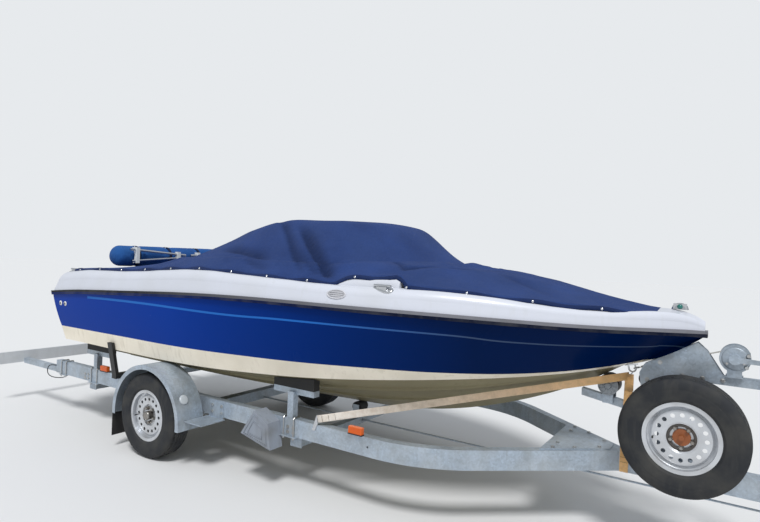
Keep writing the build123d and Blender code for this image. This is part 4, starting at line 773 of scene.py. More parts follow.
def cover_mesh(bm, rows=230, columns=96):
    """Cover with folds and a hem that turns down over the deck edge; gives its rows of vertices."""
    places, heights = cover_grid(rows, columns)
    crease = bm.verts.layers.float.new("crease")
    grid = []
    for place, line in zip(places, heights):
        edge = line[0]
        row = []
        for (x, y), z in zip(place, line):
            deep = fold_depth(x, y) * share((z - edge - 0.01) / 0.05)
            row.append(bm.verts.new(at(x, y, z - deep)))
            # Fold depth, from which the canvas finish paints shade in the folds
            row[-1][crease] = min(1.0, deep / 0.030)
        for (x, y), side in ((place[0], -1), (place[-1], 1)):
            half_way, foot = (
                bm.verts.new(at(x, y + side * out, edge - HEM_DROP * part))
                for out, part in ((0.006, 0.5), (0.010, 1))
            )
            row = [foot, half_way] + row if side < 0 else row + [half_way, foot]
        grid.append(row)
    bridge(bm, grid, caps=(), around=False)
    for row, out in ((grid[0], -0.008), (grid[-1], 0.008)):
        upper = row[2:-2]
        lower = [bm.verts.new(vert.co + Vector((out, 0.0, -HEM_DROP))) for vert in upper]
        bridge(bm, [upper, lower], caps=(), around=False)
    return grid


# Canvas in the cloth simulation
CLOTH = {
    "quality": 5, "mass": 0.35, "tension_stiffness": 25.0, "compression_stiffness": 25.0,
    "shear_stiffness": 8.0, "bending_stiffness": 0.6, "vertex_group_mass": "pinned",
}


def slacken(obj, pinned, cap, frames=18, slack=-0.012, pressure=0.0):
    """Lets a mesh settle as cloth: pinned vertices stay, and no vertex moves further than cap."""
    group = obj.vertex_groups.new(name="pinned")
    for index, weight in pinned.items():
        group.add([index], weight, "REPLACE")
    cloth = obj.modifiers.new("cloth", "CLOTH")
    for key, value in CLOTH.items():
        setattr(cloth.settings, key, value)
    cloth.settings.shrink_min = slack
    cloth.collision_settings.use_collision = False
    if pressure:
        cloth.settings.use_pressure = True
        cloth.settings.uniform_pressure_force = pressure
        cloth.settings.effector_weights.gravity = 0.0
    cloth.point_cache.frame_start = 1
    cloth.point_cache.frame_end = frames
    scene = bpy.context.scene
    before = [vert.co.copy() for vert in obj.data.vertices]
    for frame_number in range(1, frames + 1):
        scene.frame_set(frame_number)
    apply_modifiers(obj)
    for vert, start in zip(obj.data.vertices, before):
        move = vert.co - start
        if move.length > cap:
            vert.co = start + move.normalized() * cap
    scene.frame_set(1)
    obj.vertex_groups.clear()


class BOAT_OT_cover(bpy.types.Operator):
    """Makes the travel cover: canvas drawn over the windscreen, with folds, hem and snaps."""

    bl_idname = "boat.cover"
    bl_label = "Travel cover"

    def execute(self, context):
        bm = bmesh.new()
        grid = cover_mesh(bm)
        bm.verts.index_update()
        # Cloth nearer the deck than this is held; it is free once it lies higher by the second figure
        held_below, freed_over = 0.05, 0.1
        pinned = {}
        for row in grid:
            edge = row[2].co.z
            for j, vert in enumerate(row):
                lift = vert.co.z - edge
                held = min(j - 1, len(row) - 2 - j) <= 1 or lift < held_below
                pinned[vert.index] = 1.0 if held else max(0.0, 1.0 - (lift - held_below) / freed_over)
        for vert in (*grid[0], *grid[-1]):
            pinned[vert.index] = 1.0
        for vert in bm.verts:
            pinned.setdefault(vert.index, 1.0)
        cover = new_piece("travel_cover", bm, "travel_canvas")
        slacken(cover, pinned, cap=0.035)
        modify(cover, "SOLIDIFY", thickness=0.0016, offset=1.0)
        shade(cover.data, True)
        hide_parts("cover")
        hem, snaps = self.hem(), self.snaps()
        return {"FINISHED"}

    def hem(self):
        """Bound hem tape along both sides of the cover, drawn down a little at each snap."""
        steps = 120
        bm = bmesh.new()
        for side in SIDES:
            points = []
            for i in range(steps + 1):
                x = COVER_REAR + (COVER_FRONT - COVER_REAR) * i / steps
                between = (x - COVER_REAR - FIRST_SNAP) / SNAP_SPACING
                wave = 0.006 * math.cos(2 * math.pi * between) - 0.003 + 0.0015 * math.sin(x * 23.0 + side)
                points.append(at(x, side * (hem_half(x) + 0.0125), hem_height(x) - 0.012 + wave))
            add_strap(bm, points, 0.026, 0.0022, (0.0, side * -0.25, 1.0), FLAT)
        return new_piece("cover_hem", bm, "hem_tape")

    def snaps(self):
        """Chrome snap heads along the hem."""
        bm = bmesh.new()
        x = COVER_REAR + FIRST_SNAP
        while x < COVER_FRONT - FIRST_SNAP:
            for side in SIDES:
                place = at(x, side * (hem_half(x) + 0.0135), hem_height(x) - 0.010)
                head = place + Vector((0, side * 0.005, 0.001))
                add_round(bm, place, head, ((0, 0.0085), (0.5, 0.008), (1, 0.004)), 14)
            x += SNAP_SPACING
        return new_piece("cover_snaps", bm, "snap_chrome")


class BOAT_OT_boot(bpy.types.Operator):
    """Makes the rolled sun top in its canvas boot, with ties round it."""

    bl_idname = "boat.boot"
    bl_label = "Sun top boot"

    def execute(self, context):
        low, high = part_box("sun_top_boot")
        middle = (low + high) / 2
        half = (high.y - low.y) / 2
        radius = (high.z - low.z) / 2 * 0.90
        ties = (-0.52, -0.18, 0.17, 0.50)
        rows, sides = 120, 44
        bm = bmesh.new()
        rings, tied = [], []
        for i in range(rows + 1):
            y = -1.0 + 2.0 * i / rows
            end = max(0.0, (abs(y) - 0.90) / 0.10)
            waist = min(abs(y * half - tie) for tie in ties)
            size = radius * math.sqrt(max(0.02, 1.0 - end**2.4))
            size *= 1.0 - 0.10 * math.exp(-((waist / 0.02) ** 2))
            ring = []
            for a in angles(sides):
                reach = size * (1.0 + 0.03 * math.cos(3 * a + y * 4.0) + 0.02 * math.cos(2 * a - y * 7.0))
                x, z = middle.x + reach * math.cos(a), middle.z - 0.003 + reach * math.sin(a)
                ring.append(bm.verts.new((x, middle.y + y * half, z)))
            rings.append(ring)
            tied.append(waist < 0.014)
        bridge(bm, rings)
        bm.verts.index_update()
        pinned = {vert.index: 1.0 if tie else 0.0 for ring, tie in zip(rings, tied) for vert in ring}
        boot = new_piece("boot_roll", bm, "boot_cloth")
        slacken(boot, pinned, cap=0.010, frames=16, slack=-0.03, pressure=2.5)
        modify(boot, "SUBSURF", levels=1)
        shade(boot.data, True)
        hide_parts("sun_top_boot")
        bm = bmesh.new()
        for tie in ties:
            points = [middle + PORT * tie + upright(a, radius) for a in (*angles(40), 2 * math.pi)]
            add_strap(bm, points, 0.025, 0.002, PORT, FLAT)
        new_piece("boot_ties", bm, "tie_tape")
        return {"FINISHED"}


# Wheels
TYRE_RADIUS = 0.325
# Tyre side from the bead to the shoulder: distance from the wheel's plane, radius
TYRE_SIDE = (
    (0.0715, 0.1785), (0.0725, 0.190), (0.079, 0.1985), (0.085, 0.2055), (0.088, 0.2075), (0.0885, 0.212),
    (0.0905, 0.224), (0.0922, 0.240), (0.093, 0.255), (0.0928, 0.260), (0.0915, 0.264), (0.0925, 0.268),
    (0.0915, 0.278), (0.089, 0.290), (0.085, 0.302), (0.079, 0.312), (0.072, 0.3185), (0.066, 0.322),
)
# Inside of the tyre between its beads: half width, radius
TYRE_INSIDE = (0.0570, 0.1785)
# Edges of the tread's ribs, from the middle out, and the depth of its grooves
RIB_EDGES = (0.0074, 0.0082, 0.0142, 0.0150, 0.0344, 0.0352, 0.0412, 0.0420, 0.0600)
GROOVE_DEPTH, SLOT_DEPTH = 0.007, 0.005
# The tread's zigzag shifts all edges nearer the middle than the first figure by the second one
ZIGZAG_HALF, ZIGZAG = 0.043, 0.0022
# Shoulder slots cut the edges from here out
SHOULDER = 0.042


def tyre_outline(zigzag, slot):
    """Section of a tyre at one angle, as (distance from the wheel's plane, radius) points."""
    outer = []
    for i, edge in enumerate(RIB_EDGES):
        depth = GROOVE_DEPTH if i in (1, 2, 5, 6) else SLOT_DEPTH if slot and edge >= SHOULDER else 0.0
        outer.append((edge, TYRE_RADIUS - 0.9 * edge**2 - depth))
    tread = [(-d, r) for d, r in reversed(outer)] + outer
    tread = [(d + (zigzag if abs(d) < ZIGZAG_HALF else 0.0), r) for d, r in tread]
    side = [(-d, r) for d, r in TYRE_SIDE]
    half, radius = TYRE_INSIDE
    return side + tread + list(reversed(TYRE_SIDE)) + [(half, radius), (-half, radius)]


def tyre_piece(name, centre, body):
    """Tyre with ribs, zigzag grooves, shoulder slots and a stepped side."""
    turns, zigzag_steps, slot_steps = 216, 3, 6
    bm = bmesh.new()
    rings = []
    for i, angle in enumerate(angles(turns)):
        outline = tyre_outline(ZIGZAG if (i // zigzag_steps) % 2 else -ZIGZAG, i % slot_steps == 0)
        rings.append([
            bm.verts.new((centre[0] + r * math.sin(angle), centre[1] + d, centre[2] + r * math.cos(angle)))
            for d, r in outline
        ])
    bridge(bm, rings, closed=True)
    return new_piece(name, bm, "tyre_rubber", body=body)


class BOAT_OT_wheels(bpy.types.Operator):
    """Makes the tyres with their tread, and the wheel nuts, valves and hub caps."""

    bl_idname = "boat.wheels"
    bl_label = "Wheels"

    def execute(self, context):
        # CAD node, name, body, side that the disc faces
        wheels = (
            ("tyre_right", "right", "wheel_right", -1),
            ("tyre_left", "left", "wheel_left", 1),
            ("spare_tyre", "spare", "outfit", -1),
        )
        nuts, nut_reach, nut_seat = 5, 0.056, 0.049
        for tyre_node, name, body, side in wheels:
            low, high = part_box(tyre_node)
            centre = (low + high) / 2
            out = PORT * side
            tyre = tyre_piece(f"{name}_tread", centre, body)
            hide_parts(tyre_node)
            bm = bmesh.new()
            for a in angles(nuts):
                place = centre + out * nut_seat + upright(-a - math.pi / 2, nut_reach)
                add_round(bm, place - out * 0.016, place, ((0, 0.0155), (1, 0.0120)), 16)
                head = ((0, 0.0108), (0.8, 0.0108), (1, 0.009))
                add_round(bm, place - out * 0.002, place + out * 0.013, head, 6)
            new_piece(f"{name}_nuts", bm, "wheel_nuts", smooth=False, body=body)
            bm = bmesh.new()
            foot = centre + Vector((-0.143, side * 0.045, -0.02))
            tip = foot + Vector((0.004, side * 0.034, 0))
            add_round(bm, foot, tip, ((0, 0.0055), (0.6, 0.0045), (0.62, 0.005), (1, 0.005)), 12)
            new_piece(f"{name}_valve", bm, "tyre_rubber", body=body)
            if name != "spare":
                bm = bmesh.new()
                foot = centre + out * 0.068
                cap = ((0, 0.0325), (0.7, 0.0315), (0.95, 0.027), (1, 0.018))
                add_round(bm, foot, foot + out * 0.016, cap, 40)
                new_piece(f"{name}_hub_cap", bm, "wheel_nuts", body=body)
        return {"FINISHED"}


# Hull and deck trim
class BOAT_OT_hull_trim(bpy.types.Operator):
    """Adds the strakes under the hull and the outlets in its side."""

    bl_idname = "boat.hull_trim"
    bl_label = "Hull trim"

    def execute(self, context):
        skin = skin_of("hull")
        bm = bmesh.new()
        rows, width = 90, 0.036
        # Section of a strake: place across as a share of its width, depth under the hull
        section = ((-0.5, -0.002), (0.32, 0.016), (0.5, 0.014), (0.5, -0.002))
        # Share of the chine's half width, first and last place ahead
        for part, start, end in ((0.36, -1.50, 2.55), (0.68, -1.50, 2.75)):
            for side in SIDES:
                rings = []
                for i in range(rows + 1):
                    x = start + (end - start) * i / rows
                    y = side * part * smooth_table(CHINE_HALF, x)
                    size = min(1.0, i / 6 + 0.1, (rows - i) / 10 + 0.08)
                    ring = []
                    for off, deep in section:
                        hit = meet(skin, at(x, y + side * off * width * size, 0.0), UP)[0]
                        ring.append(bm.verts.new(hit - UP * (deep * size if deep > 0 else deep)))
                    rings.append(ring)
                bridge(bm, rings)
        new_piece("hull_strakes", bm, "hull_gelcoat", smooth=False)
        rims, holes = bmesh.new(), bmesh.new()
        for x in (-1.416, -1.335):
            hit, normal = on_side(skin, x, 1.076, -1)
            flange = ((0, 0.022), (0.6, 0.021), (1, 0.017))
            add_round(rims, hit - normal * 0.002, hit + normal * 0.006, flange, 24)
            # Painted shade: a dark disc fills each outlet's bore
            add_round(holes, hit + normal * 0.0055, hit + normal * 0.0065, ((0, 0.011), (1, 0.011)), 20)
        new_piece("outlet_flanges", rims, "outlet_white")
        new_piece("outlet_bore_shade", holes, "hole_shade")
        return {"FINISHED"}


class BOAT_OT_deck_trim(bpy.types.Operator):
    """Adds the windscreen's foot mouldings, the oval vents, the cleats' feet and the bow light's lenses."""

    bl_idname = "boat.deck_trim"
    bl_label = "Deck trim"

    def execute(self, context):
        skin = skin_of("deck")
        self.feet()
        self.vents(skin)
        self.cleat_plates(skin)
        self.bow_light()
        return {"FINISHED"}

    def feet(self):
        """Mouldings that carry the windscreen's foot."""
        bm = bmesh.new()
        first, steps = 1.645, 32
        for side in SIDES:
            rings = []
            for i in range(steps + 1):
                x = first + (STEP_END - first) * i / steps
                half, edge, top = smooth_table(HEM_HALF, x), smooth_table(DECK_EDGE, x), step_height(x)
                lean = STEP_LEAN * top
                # Out from the hem's line, over the deck edge
                outline = (
                    (0.012, -0.018), (0.008, top * 0.3), (0.004 - lean * 0.4, top * 0.8),
                    (-0.004 - lean * 0.6, top),
                    (-0.05, top + 0.004), (-0.11, top + 0.002), (-0.13, -0.01),
                )
                rings.append([bm.verts.new(at(x, side * (half + out), edge + over)) for out, over in outline])
            bridge(bm, rings)
        feet = new_piece("windscreen_feet", bm, "deck_gelcoat")
        modify(feet, "BEVEL", width=0.003, segments=2)

    def vents(self, skin):
        """Oval vents in the deck's side, with three bars each."""
        ahead_of_axle, height, half_length, half_height = 1.705, 1.372, 0.062, 0.026
        frames, discs = bmesh.new(), bmesh.new()
        for side in SIDES:
            points = []
            for a in angles(40):
                x, z = ahead_of_axle + half_length * math.cos(a), height + half_height * math.sin(a)
                hit, normal = on_side(skin, x, z, side)
                points.append(hit + normal * 0.002)
            add_tube(frames, points, 0.0045, closed=True)
            middle, normal = on_side(skin, ahead_of_axle, height, side)
            # Painted shade: a grey disc behind the bars darkens the vent's inside
            hub = discs.verts.new(middle + normal * 0.003)
            rim = [discs.verts.new(point + normal * 0.001) for point in points]
            for a, b in zip(rim, rim[1:] + rim[:1]):
                discs.faces.new((a, b, hub))
            for part in (-0.45, 0.0, 0.45):
                z = height + part * half_height
                places = [on_side(skin, ahead_of_axle + reach, z, side)[0] for reach in (-0.045, 0.045)]
                ends = [place + normal * 0.0045 for place in places]
                add_tube(frames, ends, 0.0028)
        new_piece("vent_rings", frames, "vent_plastic")
        new_piece("vent_faces", discs, "vent_shade")

    def cleat_plates(self, skin):
        """Oval foot plates of the cleats, laid on the deck's shoulder."""
        low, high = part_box("cleats")
        # Half length and half width of a plate, and its dome: share of that size, height
        half_length, half_width = 0.072, 0.026
        dome = ((1.0, 0.000), (0.98, 0.004), (0.86, 0.0065), (0.5, 0.008), (0.05, 0.0085))
        bm = bmesh.new()
        for x in (low.x + 0.060, high.x - 0.060):
            for side in SIDES:
                y = side * (high.y - 0.022)
                rows = []
                for size, lift in dome:
                    row = []
                    for a in angles(40):
                        off, out = half_length * size * math.cos(a), half_width * size * math.sin(a)
                        hit, normal = meet(skin, (x + off, y + out, 3.0), -UP)
                        row.append(bm.verts.new(hit + normal * lift))
                    rows.append(row)
                bridge(bm, rows, caps=(-1,))
        new_piece("cleat_plates", bm, "stainless")

    def bow_light(self):
        """Streamlined chrome shell over the bow light, and its red and green lenses."""
        low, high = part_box("bow_light")
        middle = (low + high) / 2
        bm = bmesh.new()
        rows = []
        for i in range(15):
            part = -1.0 + 2.0 * i / 14
            size = math.sqrt(max(0.004, 1.0 - abs(part) ** 2.3))
            rows.append([
                bm.verts.new((
                    middle.x + part * 0.046, middle.y + 0.0205 * size * math.cos(a),
                    low.z + 0.0385 * size * max(0.0, math.sin(a)) ** 0.8,
                ))
                for a in (math.pi * j / 16 for j in range(17))
            ])
        bridge(bm, rows, caps=(), around=False)
        new_piece("bow_light_shell", bm, "stainless")
        dome = ((0, 0.0155), (0.5, 0.0145), (0.85, 0.010), (1, 0.004))
        for name, side in (("red", 1), ("green", -1)):
            bm = bmesh.new()
            foot = Vector((middle.x, middle.y + side * 0.0165, low.z + 0.017))
            add_round(bm, foot, foot + PORT * side * 0.014, dome, 24)
            new_piece(f"bow_light_{name}", bm, f"{name}_glass")


# Trailer fittings
# The side beams' top and bottom, and their inner and outer faces' distance from the middle
BEAM_TOP, BEAM_BOTTOM, BEAM_INNER, BEAM_OUTER = 0.490, 0.370, 0.764, 0.836
# U-bolts stand this far over the beam's top, higher where they pass over a cross member
UBOLT_OVER, UBOLT_OVER_MEMBER = 0.007, 0.036
MEMBER_UBOLTS = (-0.672, -0.628)
UBOLTS = (0.085, 0.225, -1.155, -1.065, 1.190, 1.280, *MEMBER_UBOLTS, -1.66, -1.58)
# Plates under the beams: ahead, half length
CLAMP_PLATES = ((-1.11, 0.07), (1.235, 0.07), (-0.65, 0.045), (-1.62, 0.06))
# Bolts through the gusset plates: ahead, distance from the middle
GUSSET_BOLTS = ((2.86, 0.27), (2.86, 0.16), (2.97, 0.19), (3.09, 0.075))
# The winch drum's middle and the bow roller's: ahead, height
DRUM = (3.773, 1.126)
BOW_ROLLER = (3.122, 0.8785)
# Bolts on outward faces: distance from the middle, (ahead, height) places, size across flats, height
SIDE_BOLTS = (
    (0.8363, (*product((0.475, 0.575), (0.40, 0.45)), (-0.45, 0.33), (-0.45, 0.41)), 0.019, 0.008),
    (0.830, (*product((-1.255, -1.205, 1.225, 1.275), (0.395, 0.430)),), 0.017, 0.007),
    (0.050, (*product((3.995, 4.045, 3.52, 3.57), (0.41, 0.46)),), 0.019, 0.008),
    (0.030, ((3.40, 1.055), (3.52, 0.996), (3.62, 0.996), (3.72, 0.996), (3.335, 0.945)), 0.017, 0.006),
    (0.056, (BOW_ROLLER,), 0.015, 0.006),
)


class BOAT_OT_fasteners(bpy.types.Operator):
    """Adds the U-bolts, plates, bolt heads and pins that hold the trailer together."""

    bl_idname = "boat.fasteners"
    bl_label = "Fasteners"

    def execute(self, context):
        bm, plates = bmesh.new(), bmesh.new()
        for side in SIDES:
            for x in UBOLTS:
                self.ubolt(bm, x, side, BEAM_TOP + (UBOLT_OVER_MEMBER if x in MEMBER_UBOLTS else UBOLT_OVER))
            for x, half in CLAMP_PLATES:
                corner = at(x - half, side * (BEAM_INNER - 0.014), BEAM_BOTTOM - 0.0055)
                other = at(x + half, side * (BEAM_OUTER + 0.014), BEAM_BOTTOM - 0.0005)
                add_box(plates, corner, other, 0.001)
            for x, y in GUSSET_BOLTS:
                add_bolt(bm, at(x, side * y, 0.4963), UP)
                add_bolt(bm, at(x, side * y, 0.3637), -UP)
            for y, places, across, high in SIDE_BOLTS:
                for x, z in places:
                    add_bolt(bm, at(x, side * y, z), PORT * side, across, high)
            for z in (0.385, 0.475):
                add_bolt(bm, at(4.2623, side * 0.038, z), BOW)
        # Ends of two cross pins by the winch
        for x, z in ((3.835, 1.150), (3.828, 1.085)):
            add_round(bm, at(x, -0.050, z), at(x, -0.066, z), ((0, 0.011), (0.6, 0.011), (1, 0.008)), 16)
            add_round(bm, at(x, 0.050, z), at(x, 0.060, z), ((0, 0.011), (1, 0.009)), 16)
        new_piece("fasteners", bm, "zinc_plated", smooth=False)
        new_piece("clamp_plates", plates, "galvanised", smooth=False)
        self.posts()
        self.reflectors()
        return {"FINISHED"}

    def ubolt(self, bm, x, side, top):
        """U-bolt over a beam with its nuts below."""
        corner, below = 0.006, 0.022
        legs = (
            (BEAM_INNER, BEAM_BOTTOM - below), (BEAM_INNER, top - corner), (BEAM_INNER + corner, top),
            (BEAM_OUTER - corner, top), (BEAM_OUTER, top - corner), (BEAM_OUTER, BEAM_BOTTOM - below),
        )
        add_tube(bm, [at(x, side * y, z) for y, z in legs], 0.005, 10)
        for y in (BEAM_INNER, BEAM_OUTER):
            nut_top, nut_foot = (at(x, side * y, BEAM_BOTTOM - under) for under in (0.006, 0.014))
            add_round(bm, nut_top, nut_foot, ((0, 0.0098), (1, 0.0098)), 6)

    def posts(self):
        """Clamp angles at the feet of the winch stand and the spare wheel's post."""
        bm = bmesh.new()
        half = 0.045
        face, outside = 0.0504, 0.0564
        for x in (4.02, 3.545):
            for side in SIDES:
                add_box(bm, at(x - half, side * face, 0.395), at(x + half, side * outside, 0.505), 0.0015)
            add_box(bm, at(x - half, -outside, 0.4906), at(x + half, outside, 0.4966), 0.0015)
        new_piece("post_clamps", bm, "galvanised", smooth=False)

    def reflectors(self):
        """Side reflectors on the guards and triangles on the light board."""
        # The guards' arc: its middle ahead and height, its radius, and the angle at which the reflector sits
        middle_ahead, middle_height, reach, angle = 0.015, 0.312, 0.4055, math.radians(28)
        bm = bmesh.new()
        for side in SIDES:
            out = upright(angle)
            foot = at(middle_ahead, side * 1.02, middle_height) + out * reach
            dome = ((0, 0.037), (0.5, 0.036), (0.8, 0.032), (1, 0.024))
            add_round(bm, foot - out * 0.002, foot + out * 0.010, dome, 32)
        new_piece("guard_reflectors", bm, "guard_reflector")
        bm = bmesh.new()
        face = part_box("light_board")[0].x
        for side in SIDES:
            foot = Vector((face + 0.002, side * 0.72, 0.4425))
            rings = []
            for step, size in ((0.0, 1.0), (-0.005, 1.0), (-0.007, 0.88)):
                corners = ((0.0, 0.045), (-0.05, -0.04), (0.05, -0.04))
                rings.append([bm.verts.new(foot + Vector((step, y * size, z * size))) for y, z in corners])
            bridge(bm, rings)
        new_piece("rear_reflectors", bm, "red_lens", smooth=False)


# Straps and cable
class BOAT_OT_straps(bpy.types.Operator):
    """Makes the tie-down strap and the winch strap with their stitching and sleeve."""

    bl_idname = "boat.straps"
    bl_label = "Straps"

    def execute(self, context):
        corner = Vector((ahead(3.240), -0.0515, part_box("bow_eye")[0].z - 0.014))
        foot = Vector((ahead(1.484), -0.8333, 0.530))
        along = (corner - foot).normalized()
        rise = (UP - along * along.z).normalized()
        steps = 40
        turned = []
        for i in range(steps + 1):
            turn = math.radians(7.0 * math.sin(i / steps * math.pi) - 4.0 * math.sin(i / steps * 5.0))
            turned.append(Matrix.Rotation(turn, 3, along) @ rise)
        bm = bmesh.new()
        add_strap(bm, [foot.lerp(corner, i / steps) for i in range(steps + 1)], 0.049, 0.0030, turned)
        top = Vector((corner.x, -0.0520, corner.z + 0.012))
        low = Vector((ahead(3.229), -0.0520, 0.500))
        add_strap(bm, [top.lerp(low, i / 16) for i in range(17)], 0.048, 0.0028, BOW)
        # Loop round the drawbar: half width, upper and lower face, and how far the corners are cut
        half, high, bottom, cut = 0.0520, 0.4918, 0.3682, 0.004
        loop = (
            (-half, 0.60), (-half, high - 0.01), (-half, bottom + 0.01), (-half + cut, bottom),
            (half - cut, bottom), (half, bottom + cut), (half, high - cut), (half - cut, high),
            (-half + cut, high), (-half - 0.003, high - 0.012), (-half - 0.0033, 0.44),
            (-half - 0.0033, 0.40),
        )
        add_strap(bm, [(low.x, y, z) for y, z in loop], 0.049, 0.0030, BOW)
        fold = [top + Vector((0, -0.004, under)) for under in (-0.018, -0.10)]
        add_strap(bm, fold, 0.050, 0.0030, BOW)
        tie = new_piece("tie_webbing", bm, "tan_webbing")
        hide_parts("tie_strap")
        self.stitching(foot, along, rise, low.x, -half - 0.0052)
        self.winch_strap()
        return {"FINISHED"}

    def stitching(self, foot, along, rise, loop_x, loop_y):
        """Rows of stitches at the tie-down strap's lower end and on its loop."""
        out = along.cross(rise).normalized()
        out = out if out.y < 0 else -out
        bm = bmesh.new()
        stitch = Vector((0.0011, 0.0006, 0.0013))
        for start in (0.030, 0.075, 0.120):
            for k in range(10):
                place = foot + along * start + rise * (0.036 * k / 10 - 0.018) + out * 0.0019
                add_box(bm, place - stitch, place + stitch)
        stitch = Vector((0.0013, 0.0006, 0.0009))
        for k in range(12):
            for z in (0.46, 0.43):
                place = Vector((loop_x - 0.020 + 0.040 * k / 11, loop_y, z))
                add_box(bm, place - stitch, place + stitch)
        new_piece("tie_stitching", bm, "stitching", smooth=False)

    def winch_strap(self):
        """Winch webbing: wound turns, the taut run with its sewn lap, and a sleeve."""
        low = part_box("winch_strap")[0]
        drum = at(DRUM[0], 0.0, DRUM[1])
        start = Vector((low.x + 0.002, 0.0, low.z + 0.004))
        to_drum = drum - start
        # Radius at which the run touches the wound turns, their outer radius and what each turn takes off it
        touch_reach, wound_reach, turn_loss = 0.050, 0.0495, 0.0028 * 1.6
        turn_steps, wound_steps = 40, 130
        pull = upright(math.atan2(to_drum.z, to_drum.x) + math.asin(touch_reach / to_drum.length))
        touch = start + pull * math.sqrt(to_drum.length**2 - touch_reach**2)
        run = [start.lerp(touch, i / 12) for i in range(13)]
        first = math.atan2(touch.z - drum.z, touch.x - drum.x)
        for i in range(1, wound_steps):
            turned = i / turn_steps
            run.append(drum + upright(first - 2 * math.pi * turned, wound_reach - turn_loss * turned))
        bm = bmesh.new()
        add_strap(bm, run, 0.044, 0.0034, PORT)
        normal = pull.cross(PORT)
        lap = [start + normal * 0.0036 + pull * reach for reach in (0.004, 0.10)]
        add_strap(bm, lap, 0.042, 0.0030, PORT)
        strap = new_piece("winch_webbing", bm, "winch_webbing")
        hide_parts("winch_strap")
        bm = bmesh.new()
        add_strap(bm, [start + pull * reach - normal * 0.001 for reach in (0.15, 0.19)], 0.0465, 0.0075, PORT)
        new_piece("strap_sleeve", bm, "strap_sleeve")


class BOAT_OT_cable(bpy.types.Operator):
    """Lays the light board's cable round the starboard beam's end."""

    bl_idname = "boat.cable"
    bl_label = "Cable"

    def execute(self, context):
        # ahead, y, z: the route in the part's source
        route = (
            (-1.690, -0.800, 0.4286), (-1.800, -0.800, 0.4286), (-1.845, -0.872, 0.4366),
            (-1.840, -0.872, 0.322), (-1.645, -0.808, 0.322), (-1.600, -0.800, 0.3657),
        )
        line = bpy.data.curves.new("light_lead", "CURVE")
        line.dimensions = "3D"
        line.bevel_depth = 0.004
        line.bevel_resolution = 4
        line.resolution_u = 16
        spline = line.splines.new("NURBS")
        spline.points.add(len(route) - 1)
        for point, place in zip(spline.points, route):
            point.co = (*at(*place), 1.0)
        spline.order_u = 3
        spline.use_endpoint_u = True
        lead = bpy.data.objects.new("light_lead", line)
        context.scene.collection.objects.link(lead)
        line.materials.append(plain_finish("cable_sheath", (0.012, 0.012, 0.013), (0.05, 0.05, 0.045), 0.55))
        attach(lead, "outfit")
        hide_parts("light_cable")
        return {"FINISHED"}


